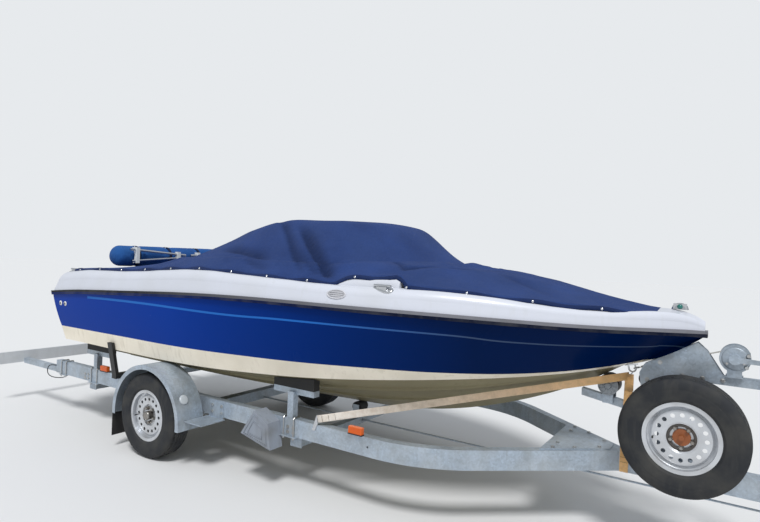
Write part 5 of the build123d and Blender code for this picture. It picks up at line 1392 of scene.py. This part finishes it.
class BOAT_OT_lamps(bpy.types.Operator):
    """Adds ribs, bases and bars to the lamps, and small parts to the winch, bow roller, spare wheel and
    chock.
    """

    bl_idname = "boat.lamps"
    bl_label = "Lamps and winch"

    def execute(self, context):
        self.markers()
        self.rear_lamps()
        self.winch_parts()
        self.roller_ends()
        self.spare_centre()
        self.chock_ribs()
        return {"FINISHED"}

    def markers(self):
        """Ribs and bases of the side markers on the beams."""
        ribs, bases = bmesh.new(), bmesh.new()
        for x in (-0.95, 1.79):
            for side in SIDES:
                y = side * 0.830
                for k in range(7):
                    z = 0.500 + k * 0.0055
                    corner = at(x - 0.044, y + side * 0.0150, z)
                    add_box(ribs, corner, at(x + 0.044, y + side * 0.0165, z + 0.0025), 0.0005)
                add_box(bases, at(x - 0.053, y - 0.017, 0.4904), at(x + 0.053, y + 0.017, 0.4975), 0.001)
        new_piece("marker_ribs", ribs, "amber_lens", smooth=False)
        new_piece("marker_bases", bases, "black_plastic", smooth=False)

    def rear_lamps(self):
        """Ribs of the rear lamps and the bars that part their fields."""
        low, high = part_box("rear_lamps")
        ribs, bars = bmesh.new(), bmesh.new()
        for side in SIDES:
            for k in range(9):
                z = low.z + 0.010 + k * 0.0088
                corner = (low.x - 0.0016, side * (high.y - 0.008), z)
                add_box(ribs, corner, (low.x + 0.001, side * (high.y - 0.192), z + 0.004), 0.0006)
            for inset in (0.067, 0.133):
                y = side * (high.y - inset)
                corner = (low.x - 0.002, y - 0.0015, low.z + 0.002)
                add_box(bars, corner, (low.x + 0.001, y + 0.0015, high.z - 0.002), 0.0004)
        new_piece("rear_lamp_ribs", ribs, "red_lens", smooth=False)
        new_piece("rear_lamp_bars", bars, "black_plastic", smooth=False)

    def roller_ends(self):
        """Ribbed end discs of the bow roller, outside its arms."""
        bm = bmesh.new()
        for side in SIDES:
            out = PORT * side
            hub = at(BOW_ROLLER[0], side * 0.0565, BOW_ROLLER[1])
            add_round(bm, hub, hub + out * 0.006, ((0, 0.060), (0.7, 0.060), (1, 0.057)), 40)
            add_round(bm, hub + out * 0.006, hub + out * 0.016, ((0, 0.019), (0.8, 0.018), (1, 0.014)), 24)
            for a in angles(12):
                start, end = (hub + out * 0.007 + upright(a, reach) for reach in (0.018, 0.054))
                add_round(bm, start, end, ((0, 0.0032), (1, 0.0032)), 8)
            add_tube(bm, [hub + out * 0.0065 + upright(a, 0.0555) for a in angles(48)], 0.0036, closed=True)
        new_piece("bow_roller_ends", bm, "roller_hub")

    def spare_centre(self):
        """Pressed ring round the spare wheel's hub, and a dark annulus of painted shade for the bowl inside
        it.
        """
        low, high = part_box("spare_rim")
        centre = (low + high) / 2 - PORT * 0.0492
        sides = 72
        ring, bowl = bmesh.new(), bmesh.new()
        add_tube(ring, [centre + upright(a, 0.0800) for a in angles(sides)], 0.0062, 10, closed=True)
        # Painted shade: the bowl inside the ring is a dark annulus in drum iron
        rows = [
            [bowl.verts.new(centre + upright(a, reach) - PORT * out) for a in angles(sides)]
            for reach, out in ((0.059, 0.0), (0.061, 0.0022), (0.072, 0.0022), (0.0745, 0.0))
        ]
        bridge(bowl, rows, caps=())
        new_piece("spare_ring", ring, "wheel_silver")
        new_piece("spare_bowl_shade", bowl, "drum_iron")

    def chock_ribs(self):
        """Dark sheets of painted shade on the wheel chock's hollow fields, and its ribs."""
        low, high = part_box("wheel_chock")
        middle = (low.y + high.y) / 2
        # The chock's sloping face, from its upper edge down: ahead, height
        edge, foot = (1.020, 0.526), (0.900, 0.350)
        slope = Vector((foot[0] - edge[0], 0.0, foot[1] - edge[1])).normalized()
        normal = Vector((-slope.z, 0.0, slope.x))
        normal = normal if normal.z > 0 else -normal
        hollows, ribs = bmesh.new(), bmesh.new()
        for k in range(4):
            start = at(edge[0], 0.0, edge[1]) + slope * (0.018 + 0.048 * k)
            upper, lower = start + normal * 0.0012, start + slope * 0.032 + normal * 0.0012
            # Painted shade: a near-black sheet lies just over each hollow field
            for y0, y1 in ((low.y + 0.014, middle - 0.007), (middle + 0.007, high.y - 0.014)):
                corners = ((upper, y0), (upper, y1), (lower, y1), (lower, y0))
                hollows.faces.new([hollows.verts.new(place + PORT * y) for place, y in corners])
            end = start - slope * 0.008 + normal * 0.001
            add_tube(ribs, [end + PORT * (low.y + 0.004), end + PORT * (high.y - 0.004)], 0.0052)
        for inset in (0.022, 0.052):
            # Loops on the chock's side, drawn in from its four corners
            loop = (
                (edge[0], edge[1] - inset * 1.35), (foot[0] + inset * 1.3, foot[1] + inset * 0.3),
                (1.180 - inset * 1.5, 0.286 + inset * 1.2), (1.150 - inset, 0.460 - inset * 0.8),
            )
            add_tube(ribs, [at(x, low.y - 0.001, z) for x, z in loop], 0.0038, closed=True)
        new_piece("chock_hollow_shade", hollows, "chock_hollow_shade", smooth=False)
        new_piece("chock_ribs", ribs, "chock_plastic")

    def winch_parts(self):
        """Domed gear cover with its studs, and the soft grip of the winch."""
        out = -PORT
        face = at(DRUM[0], 0.0, DRUM[1]) + out * 0.0475
        dome = (
            (0, 0.064), (0.3, 0.064), (0.6, 0.0605), (0.65, 0.054), (0.8, 0.050), (0.85, 0.034), (1, 0.030),
        )
        bm = bmesh.new()
        add_round(bm, face, face + out * 0.0100, dome, 48)
        new_piece("winch_cover", bm, "galvanised")
        bm = bmesh.new()
        for x, z in ((0.0465, 0.00744), (0.0434, -0.02108), (-0.0372, -0.0279)):
            add_bolt(bm, face + Vector((x, -0.004, z)), out, 0.013, 0.007, 0.010)
        new_piece("winch_studs", bm, "zinc_plated", smooth=False)
        grip = (
            (0, 0.015), (0.05, 0.0175), (0.3, 0.016), (0.55, 0.0172), (0.8, 0.0162), (0.95, 0.0182),
            (1, 0.015),
        )
        bm = bmesh.new()
        foot = at(3.948, -0.080, 1.118)
        add_round(bm, foot, foot + out * 0.098, grip, 24)
        new_piece("winch_grip", bm, "black_rubber")


# Stern drive and coupling
# The drive is drawn lowered in the part's source and stands tilted up by this angle about its axis
TILT = math.radians(50)
TILT_AXIS = Vector((-2.755, 0.0, 0.820))
LEG_BACK = Vector((-math.cos(TILT), 0.0, math.sin(TILT)))
LEG_UP = Vector((math.sin(TILT), 0.0, math.cos(TILT)))
# Outlines on the leg, back and up: the upper housing's outer and inner side panel, and the plate under them
OUTER_PANEL = (
    (0.050, -0.192), (0.050, 0.030), (0.062, 0.042), (0.108, 0.047), (0.196, 0.045), (0.222, 0.028),
    (0.226, -0.180), (0.214, -0.194),
)
INNER_PANEL = (
    (0.080, -0.165), (0.080, 0.005), (0.110, 0.022), (0.180, 0.020), (0.198, 0.002), (0.198, -0.150),
)
NECK_PANEL = ((0.075, -0.252), (0.075, -0.210), (0.212, -0.210), (0.212, -0.252))
# Panels: outline, distance from the middle, thickness, width of the sloping border
PANELS = (
    (OUTER_PANEL, 0.0655, 0.0045, 0.010), (INNER_PANEL, 0.0695, 0.0045, 0.012),
    (NECK_PANEL, 0.0435, 0.003, 0.008),
)
PANEL_BOLTS = (
    (0.064, -0.178), (0.064, 0.026), (0.208, 0.024), (0.212, -0.178), (0.137, 0.035), (0.138, -0.182),
)
# Edge of the plate over the propeller: back, distance from the middle
PLATE_EDGE = ((0.022, 0.020), (0.022, 0.093), (0.372, 0.093), (0.380, 0.070), (0.380, 0.010))
ANODE = ((0.290, -0.266), (0.290, -0.276), (0.318, -0.302), (0.366, -0.302), (0.372, -0.266))


def on_leg(back, y, up):
    """Row point from a place on the leg as it is drawn lowered, in metres from the tilt axis."""
    return TILT_AXIS + LEG_BACK * back + LEG_UP * up + PORT * y


def add_panel(bm, points, out, thick, inset):
    """Raised panel with a sloping border on a flat outline."""
    middle = sum(points, Vector()) / len(points)
    low = [bm.verts.new(point) for point in points]
    high = [bm.verts.new(point + (middle - point).normalized() * inset + out * thick) for point in points]
    bridge(bm, [low, high])


class BOAT_OT_drive(bpy.types.Operator):
    """Adds panels, bolts, anode and propeller nut to the stern drive, and eyes and a plug to the transom."""

    bl_idname = "boat.drive"
    bl_label = "Stern drive"

    def execute(self, context):
        panels, bolts, slits = bmesh.new(), bmesh.new(), bmesh.new()
        for side in SIDES:
            out = PORT * side
            for outline, y, thick, inset in PANELS:
                add_panel(panels, [on_leg(back, side * y, up) for back, up in outline], out, thick, inset)
            for back, up in PANEL_BOLTS:
                add_bolt(bolts, on_leg(back, side * 0.0695, up), out, 0.012, 0.006, 0.009)
            # Water inlets in the lower housing as dark bars of painted shade, each leaning forward
            for k in range(4):
                low = on_leg(0.128 + 0.017 * k, side * 0.0525, -0.462)
                add_round(slits, low, low + LEG_BACK * 0.006 + LEG_UP * 0.032, ((0, 0.0026), (1, 0.0026)), 8)
            add_tube(panels, [on_leg(back, side * y, -0.260) for back, y in PLATE_EDGE], 0.0065, 10)
        cap = ((0.195, -0.030), (0.195, 0.030), (0.228, 0.024), (0.228, -0.024))
        add_panel(panels, [on_leg(back, y, 0.0755) for back, y in cap], LEG_UP, 0.006, 0.008)
        new_piece("drive_panels", panels, "drive_enamel", smooth=False, body="drive")
        new_piece("drive_bolts", bolts, "zinc_plated", smooth=False, body="drive")
        new_piece("drive_inlet_shade", slits, "hole_shade", body="drive")
        bm = bmesh.new()
        bridge(bm, [[bm.verts.new(on_leg(back, y, up)) for back, up in ANODE] for y in (0.008, -0.008)])
        add_bolt(bm, on_leg(0.340, 0.0, -0.254), LEG_UP, 0.014, 0.006, 0.011)
        new_piece("drive_anode", bm, "anode_zinc", smooth=False, body="drive")
        nut = (
            (0, 0.033), (0.14, 0.033), (0.16, 0.020), (0.62, 0.020), (0.66, 0.013), (0.95, 0.012), (1, 0.008),
        )
        bm = bmesh.new()
        shaft = on_leg(0.474, 0.0, -0.450)
        add_round(bm, shaft, shaft + LEG_BACK * 0.030, nut, 6)
        new_piece("propeller_nut", bm, "zinc_plated", smooth=False, body="prop")
        self.transom()
        return {"FINISHED"}

    def transom(self):
        """Nuts round the drive's plate, two stern eyes and a drain plug."""
        bm = bmesh.new()
        skin = skin_of("transom_shield")
        for y, z in (*product((-0.132, 0.132), (0.66, 0.83, 1.00)), (0.0, 1.012)):
            hit, out = meet(skin, (-3.2, y, z), BOW)
            add_bolt(bm, hit, out, 0.017, 0.010, 0.013)
        new_piece("shield_nuts", bm, "zinc_plated", smooth=False)
        skin = skin_of("hull")
        bm = bmesh.new()
        half = 0.020
        # A stern eye's bow: place across, height over the transom
        eye = ((-half, 0.0), (-half, 0.022), (-0.012, 0.034), (0.012, 0.034), (half, 0.022), (half, 0.0))
        for side in SIDES:
            hit, out = meet(skin, (-3.4, side * 0.62, 1.02), BOW)
            add_tube(bm, [hit + PORT * y + out * over for y, over in eye], 0.0045, 12)
            for foot in (hit - PORT * half, hit + PORT * half):
                add_round(bm, foot, foot + out * 0.004, ((0, 0.012), (0.6, 0.0115), (1, 0.008)), 20)
        hit, out = meet(skin, (-3.4, 0.24, 0.70), BOW)
        add_round(bm, hit, hit + out * 0.012, ((0, 0.021), (0.3, 0.020), (0.35, 0.012), (1, 0.011)), 24)
        new_piece("stern_eyes", bm, "stainless")


def grip_rings(count, first, spacing, steps, radii, ends):
    """Rings of a ribbed grip: each rib rises at its start and falls off in two steps."""
    rings = [(0, ends[0])]
    for i in range(count):
        rings += [(first + step + i * spacing, radius) for step, radius in zip(steps, radii)]
    return (*rings, (1, ends[1]))


class BOAT_OT_coupling(bpy.types.Operator):
    """Adds bolts, ribs and grips to the coupling, the handbrake, the jockey wheel and the light board."""

    bl_idname = "boat.coupling"
    bl_label = "Coupling and jockey wheel"

    def execute(self, context):
        bolts, ribs = bmesh.new(), bmesh.new()
        for side in SIDES:
            out = PORT * side
            for x, z in ((3.368, 0.438), (3.412, 0.438), (3.500, 0.462)):
                add_bolt(bolts, (x, side * 0.040, z), out, 0.019, 0.010, 0.014)
            for x, z in ((3.112, 0.405), (3.112, 0.465), (3.175, 0.405)):
                add_bolt(bolts, (x, side * 0.050, z), out, 0.017, 0.009, 0.013)
            lower = ((3.440, 0.412), (3.500, 0.409), (3.565, 0.412), (3.585, 0.436))
            upper = ((3.440, 0.464), (3.495, 0.480), (3.560, 0.476))
            for path, radius in ((lower, 0.0042), (upper, 0.0036)):
                add_tube(ribs, [(x, side * 0.0405, z) for x, z in path], radius)
        self.hoop(ribs, (3.545, 0.0, 0.3975), 0.0305, 0.0035, 48)
        new_piece("coupling_bolts", bolts, "zinc_plated", smooth=False)
        new_piece("coupling_ribs", ribs, "galvanised")
        self.grips()
        self.clamp()
        self.board()
        return {"FINISHED"}

    def hoop(self, bm, middle, reach, radius, sides):
        """Level ring of round bar."""
        steps = [Vector((reach * math.cos(a), reach * math.sin(a), 0.0)) for a in angles(sides)]
        around = [Vector(middle) + step for step in steps]
        add_tube(bm, around, radius, closed=True)

    def grips(self):
        """Soft grips of the coupling's handle, the handbrake and the jockey wheel's crank."""
        handle = (
            (0, 0.007), (0.06, 0.010), (0.3, 0.0092), (0.55, 0.010), (0.8, 0.0092), (0.94, 0.010), (1, 0.006),
        )
        lever = grip_rings(10, 0.04, 0.092, (0, 0.03, 0.06), (0.0178, 0.0164, 0.0164), (0.0155, 0.0120))
        crank = grip_rings(6, 0.06, 0.15, (0, 0.05, 0.09), (0.0165, 0.0152, 0.0152), (0.0140, 0.0110))
        bm = bmesh.new()
        add_round(bm, (3.478, 0.0, 0.5165), (3.568, 0.0, 0.5165), handle)
        add_round(bm, (3.1260, -0.063, 0.640), (3.1175, -0.063, 0.7505), lever)
        add_round(bm, (3.079, -0.096, 0.822), (3.079, -0.096, 0.892), crank)
        new_piece("hand_grips", bm, "black_rubber")

    def clamp(self):
        """Bands, screw and handle of the clamp round the jockey wheel's tube."""
        bm = bmesh.new()
        for z in (0.408, 0.430, 0.452):
            self.hoop(bm, (2.975, -0.096, z), 0.0335, 0.0045, 40)
        screw = Vector((2.975, -0.128, 0.430))
        bolt = ((0, 0.0105), (0.2, 0.0105), (0.22, 0.0060), (1, 0.0060))
        add_round(bm, screw, screw - PORT * 0.040, bolt, 16)
        knob = screw - PORT * 0.038
        handle = ((0, 0.0065), (0.08, 0.0075), (0.2, 0.0050), (0.8, 0.0050), (0.92, 0.0075), (1, 0.0065))
        add_round(bm, knob - UP * 0.045, knob + UP * 0.045, handle, 16)
        new_piece("jockey_clamp", bm, "galvanised")

    def board(self):
        """Black edge of the blank plate panel and the board's end caps."""
        low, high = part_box("light_board")
        half, inset = 0.264, 0.008
        bottom, top = low.z + inset, high.z - inset
        bm = bmesh.new()
        outline = ((-half, bottom), (half, bottom), (half, top), (-half, top))
        corners = [(low.x - 0.0012, y, z) for y, z in outline]
        add_tube(bm, corners, 0.0024, closed=True)
        for side in SIDES:
            corner = (low.x - 0.002, side * (high.y - 0.006), low.z - 0.003)
            add_box(bm, corner, (high.x + 0.002, side * (high.y + 0.004), high.z + 0.003), 0.002)
        new_piece("board_edges", bm, "cable_sheath", smooth=False)


# Camera, finishes and stage
CAMERA_PLACE = (2.638, -3.736, 1.610)
CAMERA_YAW, CAMERA_PITCH, CAMERA_ROLL = math.radians(32.83), math.radians(0.40), math.radians(2.32)
SENSOR_WIDTH = 36.0
FLOOR_HALF = 60.0
SUN_FROM = Vector((0.35, -0.55, 1.0))
SUN_ANGLE = math.radians(14.0)
# Plain finishes: name, colour, dirt, roughness, other settings, CAD nodes that have it
PLAIN = (
    ("stainless", (0.62, 0.63, 0.65), (0.4, 0.4, 0.4), 0.16, {"Metallic": 1.0},
     "sun_top_legs bow_eye strap_link cleats bow_light"),
    ("white_plastic", (0.80, 0.82, 0.80), (0.5, 0.52, 0.5), 0.4, {}, "sun_top_saddles"),
    ("engine_iron", (0.04, 0.042, 0.045), (0.02, 0.02, 0.02), 0.6, {}, "engine_block"),
    ("drive_enamel", (0.012, 0.012, 0.014), (0.05, 0.05, 0.045), 0.3, {},
     "transom_shield gimbal_ring drive_leg"),
    ("propeller_enamel", (0.01, 0.01, 0.011), (0.08, 0.08, 0.08), 0.35, {}, "propeller"),
    ("black_steel", (0.012, 0.012, 0.013), (0.07, 0.065, 0.055), 0.45, {},
     "cradle overrun_coupling handbrake_lever"),
    ("black_rubber", (0.016, 0.016, 0.017), (0.06, 0.058, 0.05), 0.7, {"bumpy": 0.0006},
     "hull_pads rollers coupling_gaiter mud_flaps"),
    ("black_plastic", (0.014, 0.014, 0.016), (0.06, 0.06, 0.055), 0.5, {}, "light_cable"),
    ("chock_plastic", (0.26, 0.29, 0.34), (0.12, 0.11, 0.09), 0.5, {"amount": 0.6}, "wheel_chock"),
    ("drum_iron", (0.06, 0.055, 0.05), (0.12, 0.06, 0.03), 0.6, {}, "drum_left drum_right"),
    ("rust_enamel", (0.28, 0.085, 0.025), (0.1, 0.04, 0.02), 0.5, {}, "spare_cap"),
    ("amber_lens", (0.75, 0.13, 0.01), (0.3, 0.08, 0.02), 0.18, {}, "marker_lamps"),
    ("red_lens", (0.35, 0.008, 0.008), (0.15, 0.02, 0.02), 0.18, {}, "rear_lamps"),
    ("board_white", (0.6, 0.62, 0.64), (0.3, 0.3, 0.28), 0.4, {}, "light_board"),
    ("snap_chrome", (0.75, 0.76, 0.78), (0.45, 0.45, 0.45), 0.18, {"Metallic": 1.0}, ""),
    ("wheel_nuts", (0.36, 0.35, 0.33), (0.2, 0.12, 0.06), 0.35, {"amount": 0.6, "Metallic": 1.0}, ""),
    ("outlet_white", (0.75, 0.75, 0.74), (0.4, 0.38, 0.33), 0.35, {}, ""),
    # Painted shade in holes: the outlets' bores and the drive's inlets
    ("hole_shade", (0.01, 0.01, 0.012), (0.03, 0.03, 0.03), 0.7, {}, ""),
    ("vent_plastic", (0.62, 0.62, 0.66), (0.3, 0.3, 0.3), 0.4, {}, ""),
    ("vent_shade", (0.36, 0.36, 0.38), (0.2, 0.2, 0.2), 0.5, {}, ""),
    ("red_glass", (0.45, 0.01, 0.01), (0.05, 0.05, 0.05), 0.12, {"amount": 0.2, "Coat_Weight": 0.6}, ""),
    ("green_glass", (0.0, 0.16, 0.13), (0.05, 0.05, 0.05), 0.12, {"amount": 0.2, "Coat_Weight": 0.6}, ""),
    ("zinc_plated", (0.55, 0.56, 0.56), (0.28, 0.2, 0.12), 0.3, {"amount": 0.45, "Metallic": 1.0}, ""),
    ("guard_reflector", (0.50, 0.54, 0.57), (0.3, 0.3, 0.28), 0.15, {"amount": 0.2, "Coat_Weight": 0.5}, ""),
    ("stitching", (0.12, 0.07, 0.03), (0.05, 0.03, 0.02), 0.8, {}, ""),
    ("strap_sleeve", (0.62, 0.24, 0.05), (0.3, 0.14, 0.05), 0.6, {}, ""),
    ("roller_hub", (0.33, 0.36, 0.39), (0.12, 0.11, 0.10), 0.5, {"amount": 0.7}, ""),
    # Painted shade in the chock's hollow fields
    ("chock_hollow_shade", (0.020, 0.022, 0.026), (0.05, 0.05, 0.045), 0.7, {}, ""),
    ("anode_zinc", (0.42, 0.43, 0.42), (0.2, 0.19, 0.17), 0.6, {"amount": 0.7, "Metallic": 0.6}, ""),
)


class BOAT_OT_camera(bpy.types.Operator):
    """Places the camera at the picture's viewpoint."""

    bl_idname = "boat.camera"
    bl_label = "Camera"

    def execute(self, context):
        yaw, pitch, roll = CAMERA_YAW, CAMERA_PITCH, CAMERA_ROLL
        level = math.cos(pitch)
        forward = Vector((-math.sin(yaw) * level, math.cos(yaw) * level, -math.sin(pitch)))
        right = Vector((math.cos(yaw), math.sin(yaw), 0.0))
        down = forward.cross(right)
        turned_right = math.cos(roll) * right - math.sin(roll) * down
        turned_down = math.cos(roll) * down + math.sin(roll) * right
        lens = bpy.data.cameras.new("camera")
        lens.lens = context.scene.boat_stage.focal
        lens.sensor_width = SENSOR_WIDTH
        lens.sensor_fit = "HORIZONTAL"
        camera = bpy.data.objects.new("camera", lens)
        context.scene.collection.objects.link(camera)
        turn = Matrix((turned_right, -turned_down, -forward)).transposed()
        camera.matrix_world = Matrix.Translation(CAMERA_PLACE) @ turn.to_4x4()
        context.scene.camera = camera
        return {"FINISHED"}


class BOAT_OT_finishes(bpy.types.Operator):
    """Makes every finish and gives the CAD pieces theirs."""

    bl_idname = "boat.finishes"
    bl_label = "Finishes"

    def execute(self, context):
        hull, cover, metal = context.scene.boat_hull, context.scene.boat_cover, context.scene.boat_metal
        deck = plain_finish(
            "deck_gelcoat", hull.deck, (0.5, 0.51, 0.5), 0.28, scale=3.0, amount=0.35, runs=0.5, rougher=0.4,
            Coat_Weight=0.4, Coat_Roughness=0.1,
        )
        dress(hull_finish(hull), "hull")
        dress(deck, "deck")
        dress(rail_and_shadow_finish(), "rub_rail")
        dress(canvas_finish("cover_canvas", cover.navy, (0.03, 0.035, 0.08)), "cover")
        dress(canvas_finish("boot_canvas", cover.boot, (0.03, 0.1, 0.28)), "sun_top_boot")
        strap = canvas_finish("strap_webbing", metal.webbing, (0.5, 0.33, 0.18), 2400.0)
        dress(strap, "winch_strap", "tie_strap")
        canvas_finish("travel_canvas", cover.navy, (0.030, 0.055, 0.15), shaded_creases=True)
        canvas_finish("boot_cloth", cover.boot, (0.03, 0.12, 0.32))
        canvas_finish("hem_tape", (0.014, 0.028, 0.095), (0.02, 0.035, 0.10), 2600.0)
        canvas_finish("tie_tape", (0.01, 0.02, 0.06), (0.02, 0.04, 0.1), 2600.0)
        webbing_finish("tan_webbing", (0.86, 0.80, 0.72), (0.42, 0.30, 0.17), metal.webbing)
        webbing_finish("winch_webbing", (0.45, 0.44, 0.40), (0.2, 0.18, 0.15))
        dress(
            zinc_finish(metal),
            "beam_left", "beam_right", "drawbar", "gusset_plates", "cross_members", "axle_tube", "swing_arms",
            "mudguards", "guard_brackets", "bunk_supports", "winch_stand", "bow_roller_arm", "spare_carrier",
            "board_tubes", "jockey_outer", "jockey_inner", "jockey_fork", "brake_rod", "coupling_head",
            "winch",
        )
        rubber = plain_finish("wheel_rubber", metal.rubber, (0.10, 0.095, 0.08), 0.72, amount=0.5)
        dress(rubber, "jockey_wheel")
        plain_finish("tyre_rubber", metal.rubber, (0.10, 0.095, 0.08), 0.72, amount=0.5, bumpy=0.0005)
        wheel = plain_finish("wheel_silver", metal.wheel, (0.22, 0.19, 0.15), 0.32, amount=0.35, Metallic=0.7)
        dress(wheel, "rim_left", "rim_right", "spare_rim")
        for name, tint, dirt, roughness, others, nodes in PLAIN:
            dress(plain_finish(name, tint, dirt, roughness, **others), *nodes.split())
        return {"FINISHED"}


class BOAT_OT_stage(bpy.types.Operator):
    """Pale floor, soft surrounding light and a soft key light."""

    bl_idname = "boat.stage"
    bl_label = "Stage"

    def execute(self, context):
        settings = context.scene.boat_stage
        mesh = bpy.data.meshes.new("floor")
        corners = [(x * FLOOR_HALF, y * FLOOR_HALF, 0.0) for x, y in ((-1, -1), (1, -1), (1, 1), (-1, 1))]
        mesh.from_pydata(corners, [], [(0, 1, 2, 3)])
        floor = bpy.data.objects.new("floor", mesh)
        context.scene.collection.objects.link(floor)
        mesh.materials.append(material("floor", Base_Color=(0.72, 0.72, 0.72, 1.0), Roughness=0.9)[0])
        world = bpy.data.worlds.new("world")
        context.scene.world = world
        world.use_nodes = True
        tree = world.node_tree
        tree.nodes.clear()
        path = node(tree, "ShaderNodeLightPath").outputs
        seen = maths(tree, "MAXIMUM", path["Is Camera Ray"], path["Is Transmission Ray"])
        plain = node(tree, "ShaderNodeBackground", Color=(0.9, 0.95, 1.0, 1.0), Strength=settings.world)
        white = node(tree, "ShaderNodeBackground", Color=(0.799, 0.823, 0.847, 1.0), Strength=1.0)
        both = node(tree, "ShaderNodeMixShader", Fac=seen, i1=plain.outputs[0], i2=white.outputs[0])
        node(tree, "ShaderNodeOutputWorld", Surface=both.outputs[0])
        sun = bpy.data.lights.new("sun", "SUN")
        sun.energy = settings.sun
        sun.angle = SUN_ANGLE
        lamp = bpy.data.objects.new("sun", sun)
        lamp.rotation_euler = SUN_FROM.to_track_quat("Z", "Y").to_euler()
        context.scene.collection.objects.link(lamp)
        context.scene.view_settings.view_transform = "Standard"
        return {"FINISHED"}


class BOAT_PT_panel(bpy.types.Panel):
    """Lists the steps that dress the boat and its trailer."""

    bl_idname = "BOAT_PT_panel"
    bl_label = "Boat on trailer"
    bl_space_type = "VIEW_3D"
    bl_region_type = "UI"
    bl_category = "Boat"

    def draw(self, context):
        for operator in OPERATORS:
            self.layout.operator(operator.bl_idname)
        for name in SETTINGS:
            for prop in getattr(context.scene, name).bl_rna.properties.keys()[2:]:
                self.layout.prop(getattr(context.scene, name), prop)


SETTINGS = {
    "boat_hull": HullSettings,
    "boat_cover": CoverSettings,
    "boat_metal": MetalSettings,
    "boat_stage": StageSettings,
}
# The steps in the order in which they run
OPERATORS = (
    BOAT_OT_camera, BOAT_OT_cable, BOAT_OT_finishes, BOAT_OT_cover, BOAT_OT_boot, BOAT_OT_wheels,
    BOAT_OT_hull_trim, BOAT_OT_deck_trim, BOAT_OT_fasteners, BOAT_OT_straps, BOAT_OT_lamps, BOAT_OT_drive,
    BOAT_OT_coupling, BOAT_OT_stage,
)
CLASSES = (*SETTINGS.values(), *OPERATORS, BOAT_PT_panel)


def register():
    for cls in CLASSES:
        bpy.utils.register_class(cls)
    for name, group in SETTINGS.items():
        setattr(bpy.types.Scene, name, bpy.props.PointerProperty(type=group))


def unregister():
    for name in SETTINGS:
        delattr(bpy.types.Scene, name)
    for cls in reversed(CLASSES):
        bpy.utils.unregister_class(cls)


def main():
    """Runs every step in order."""
    register()
    for operator in OPERATORS:
        getattr(bpy.ops.boat, operator.bl_idname.split(".")[1])()


if __name__ == "__main__":
    main()
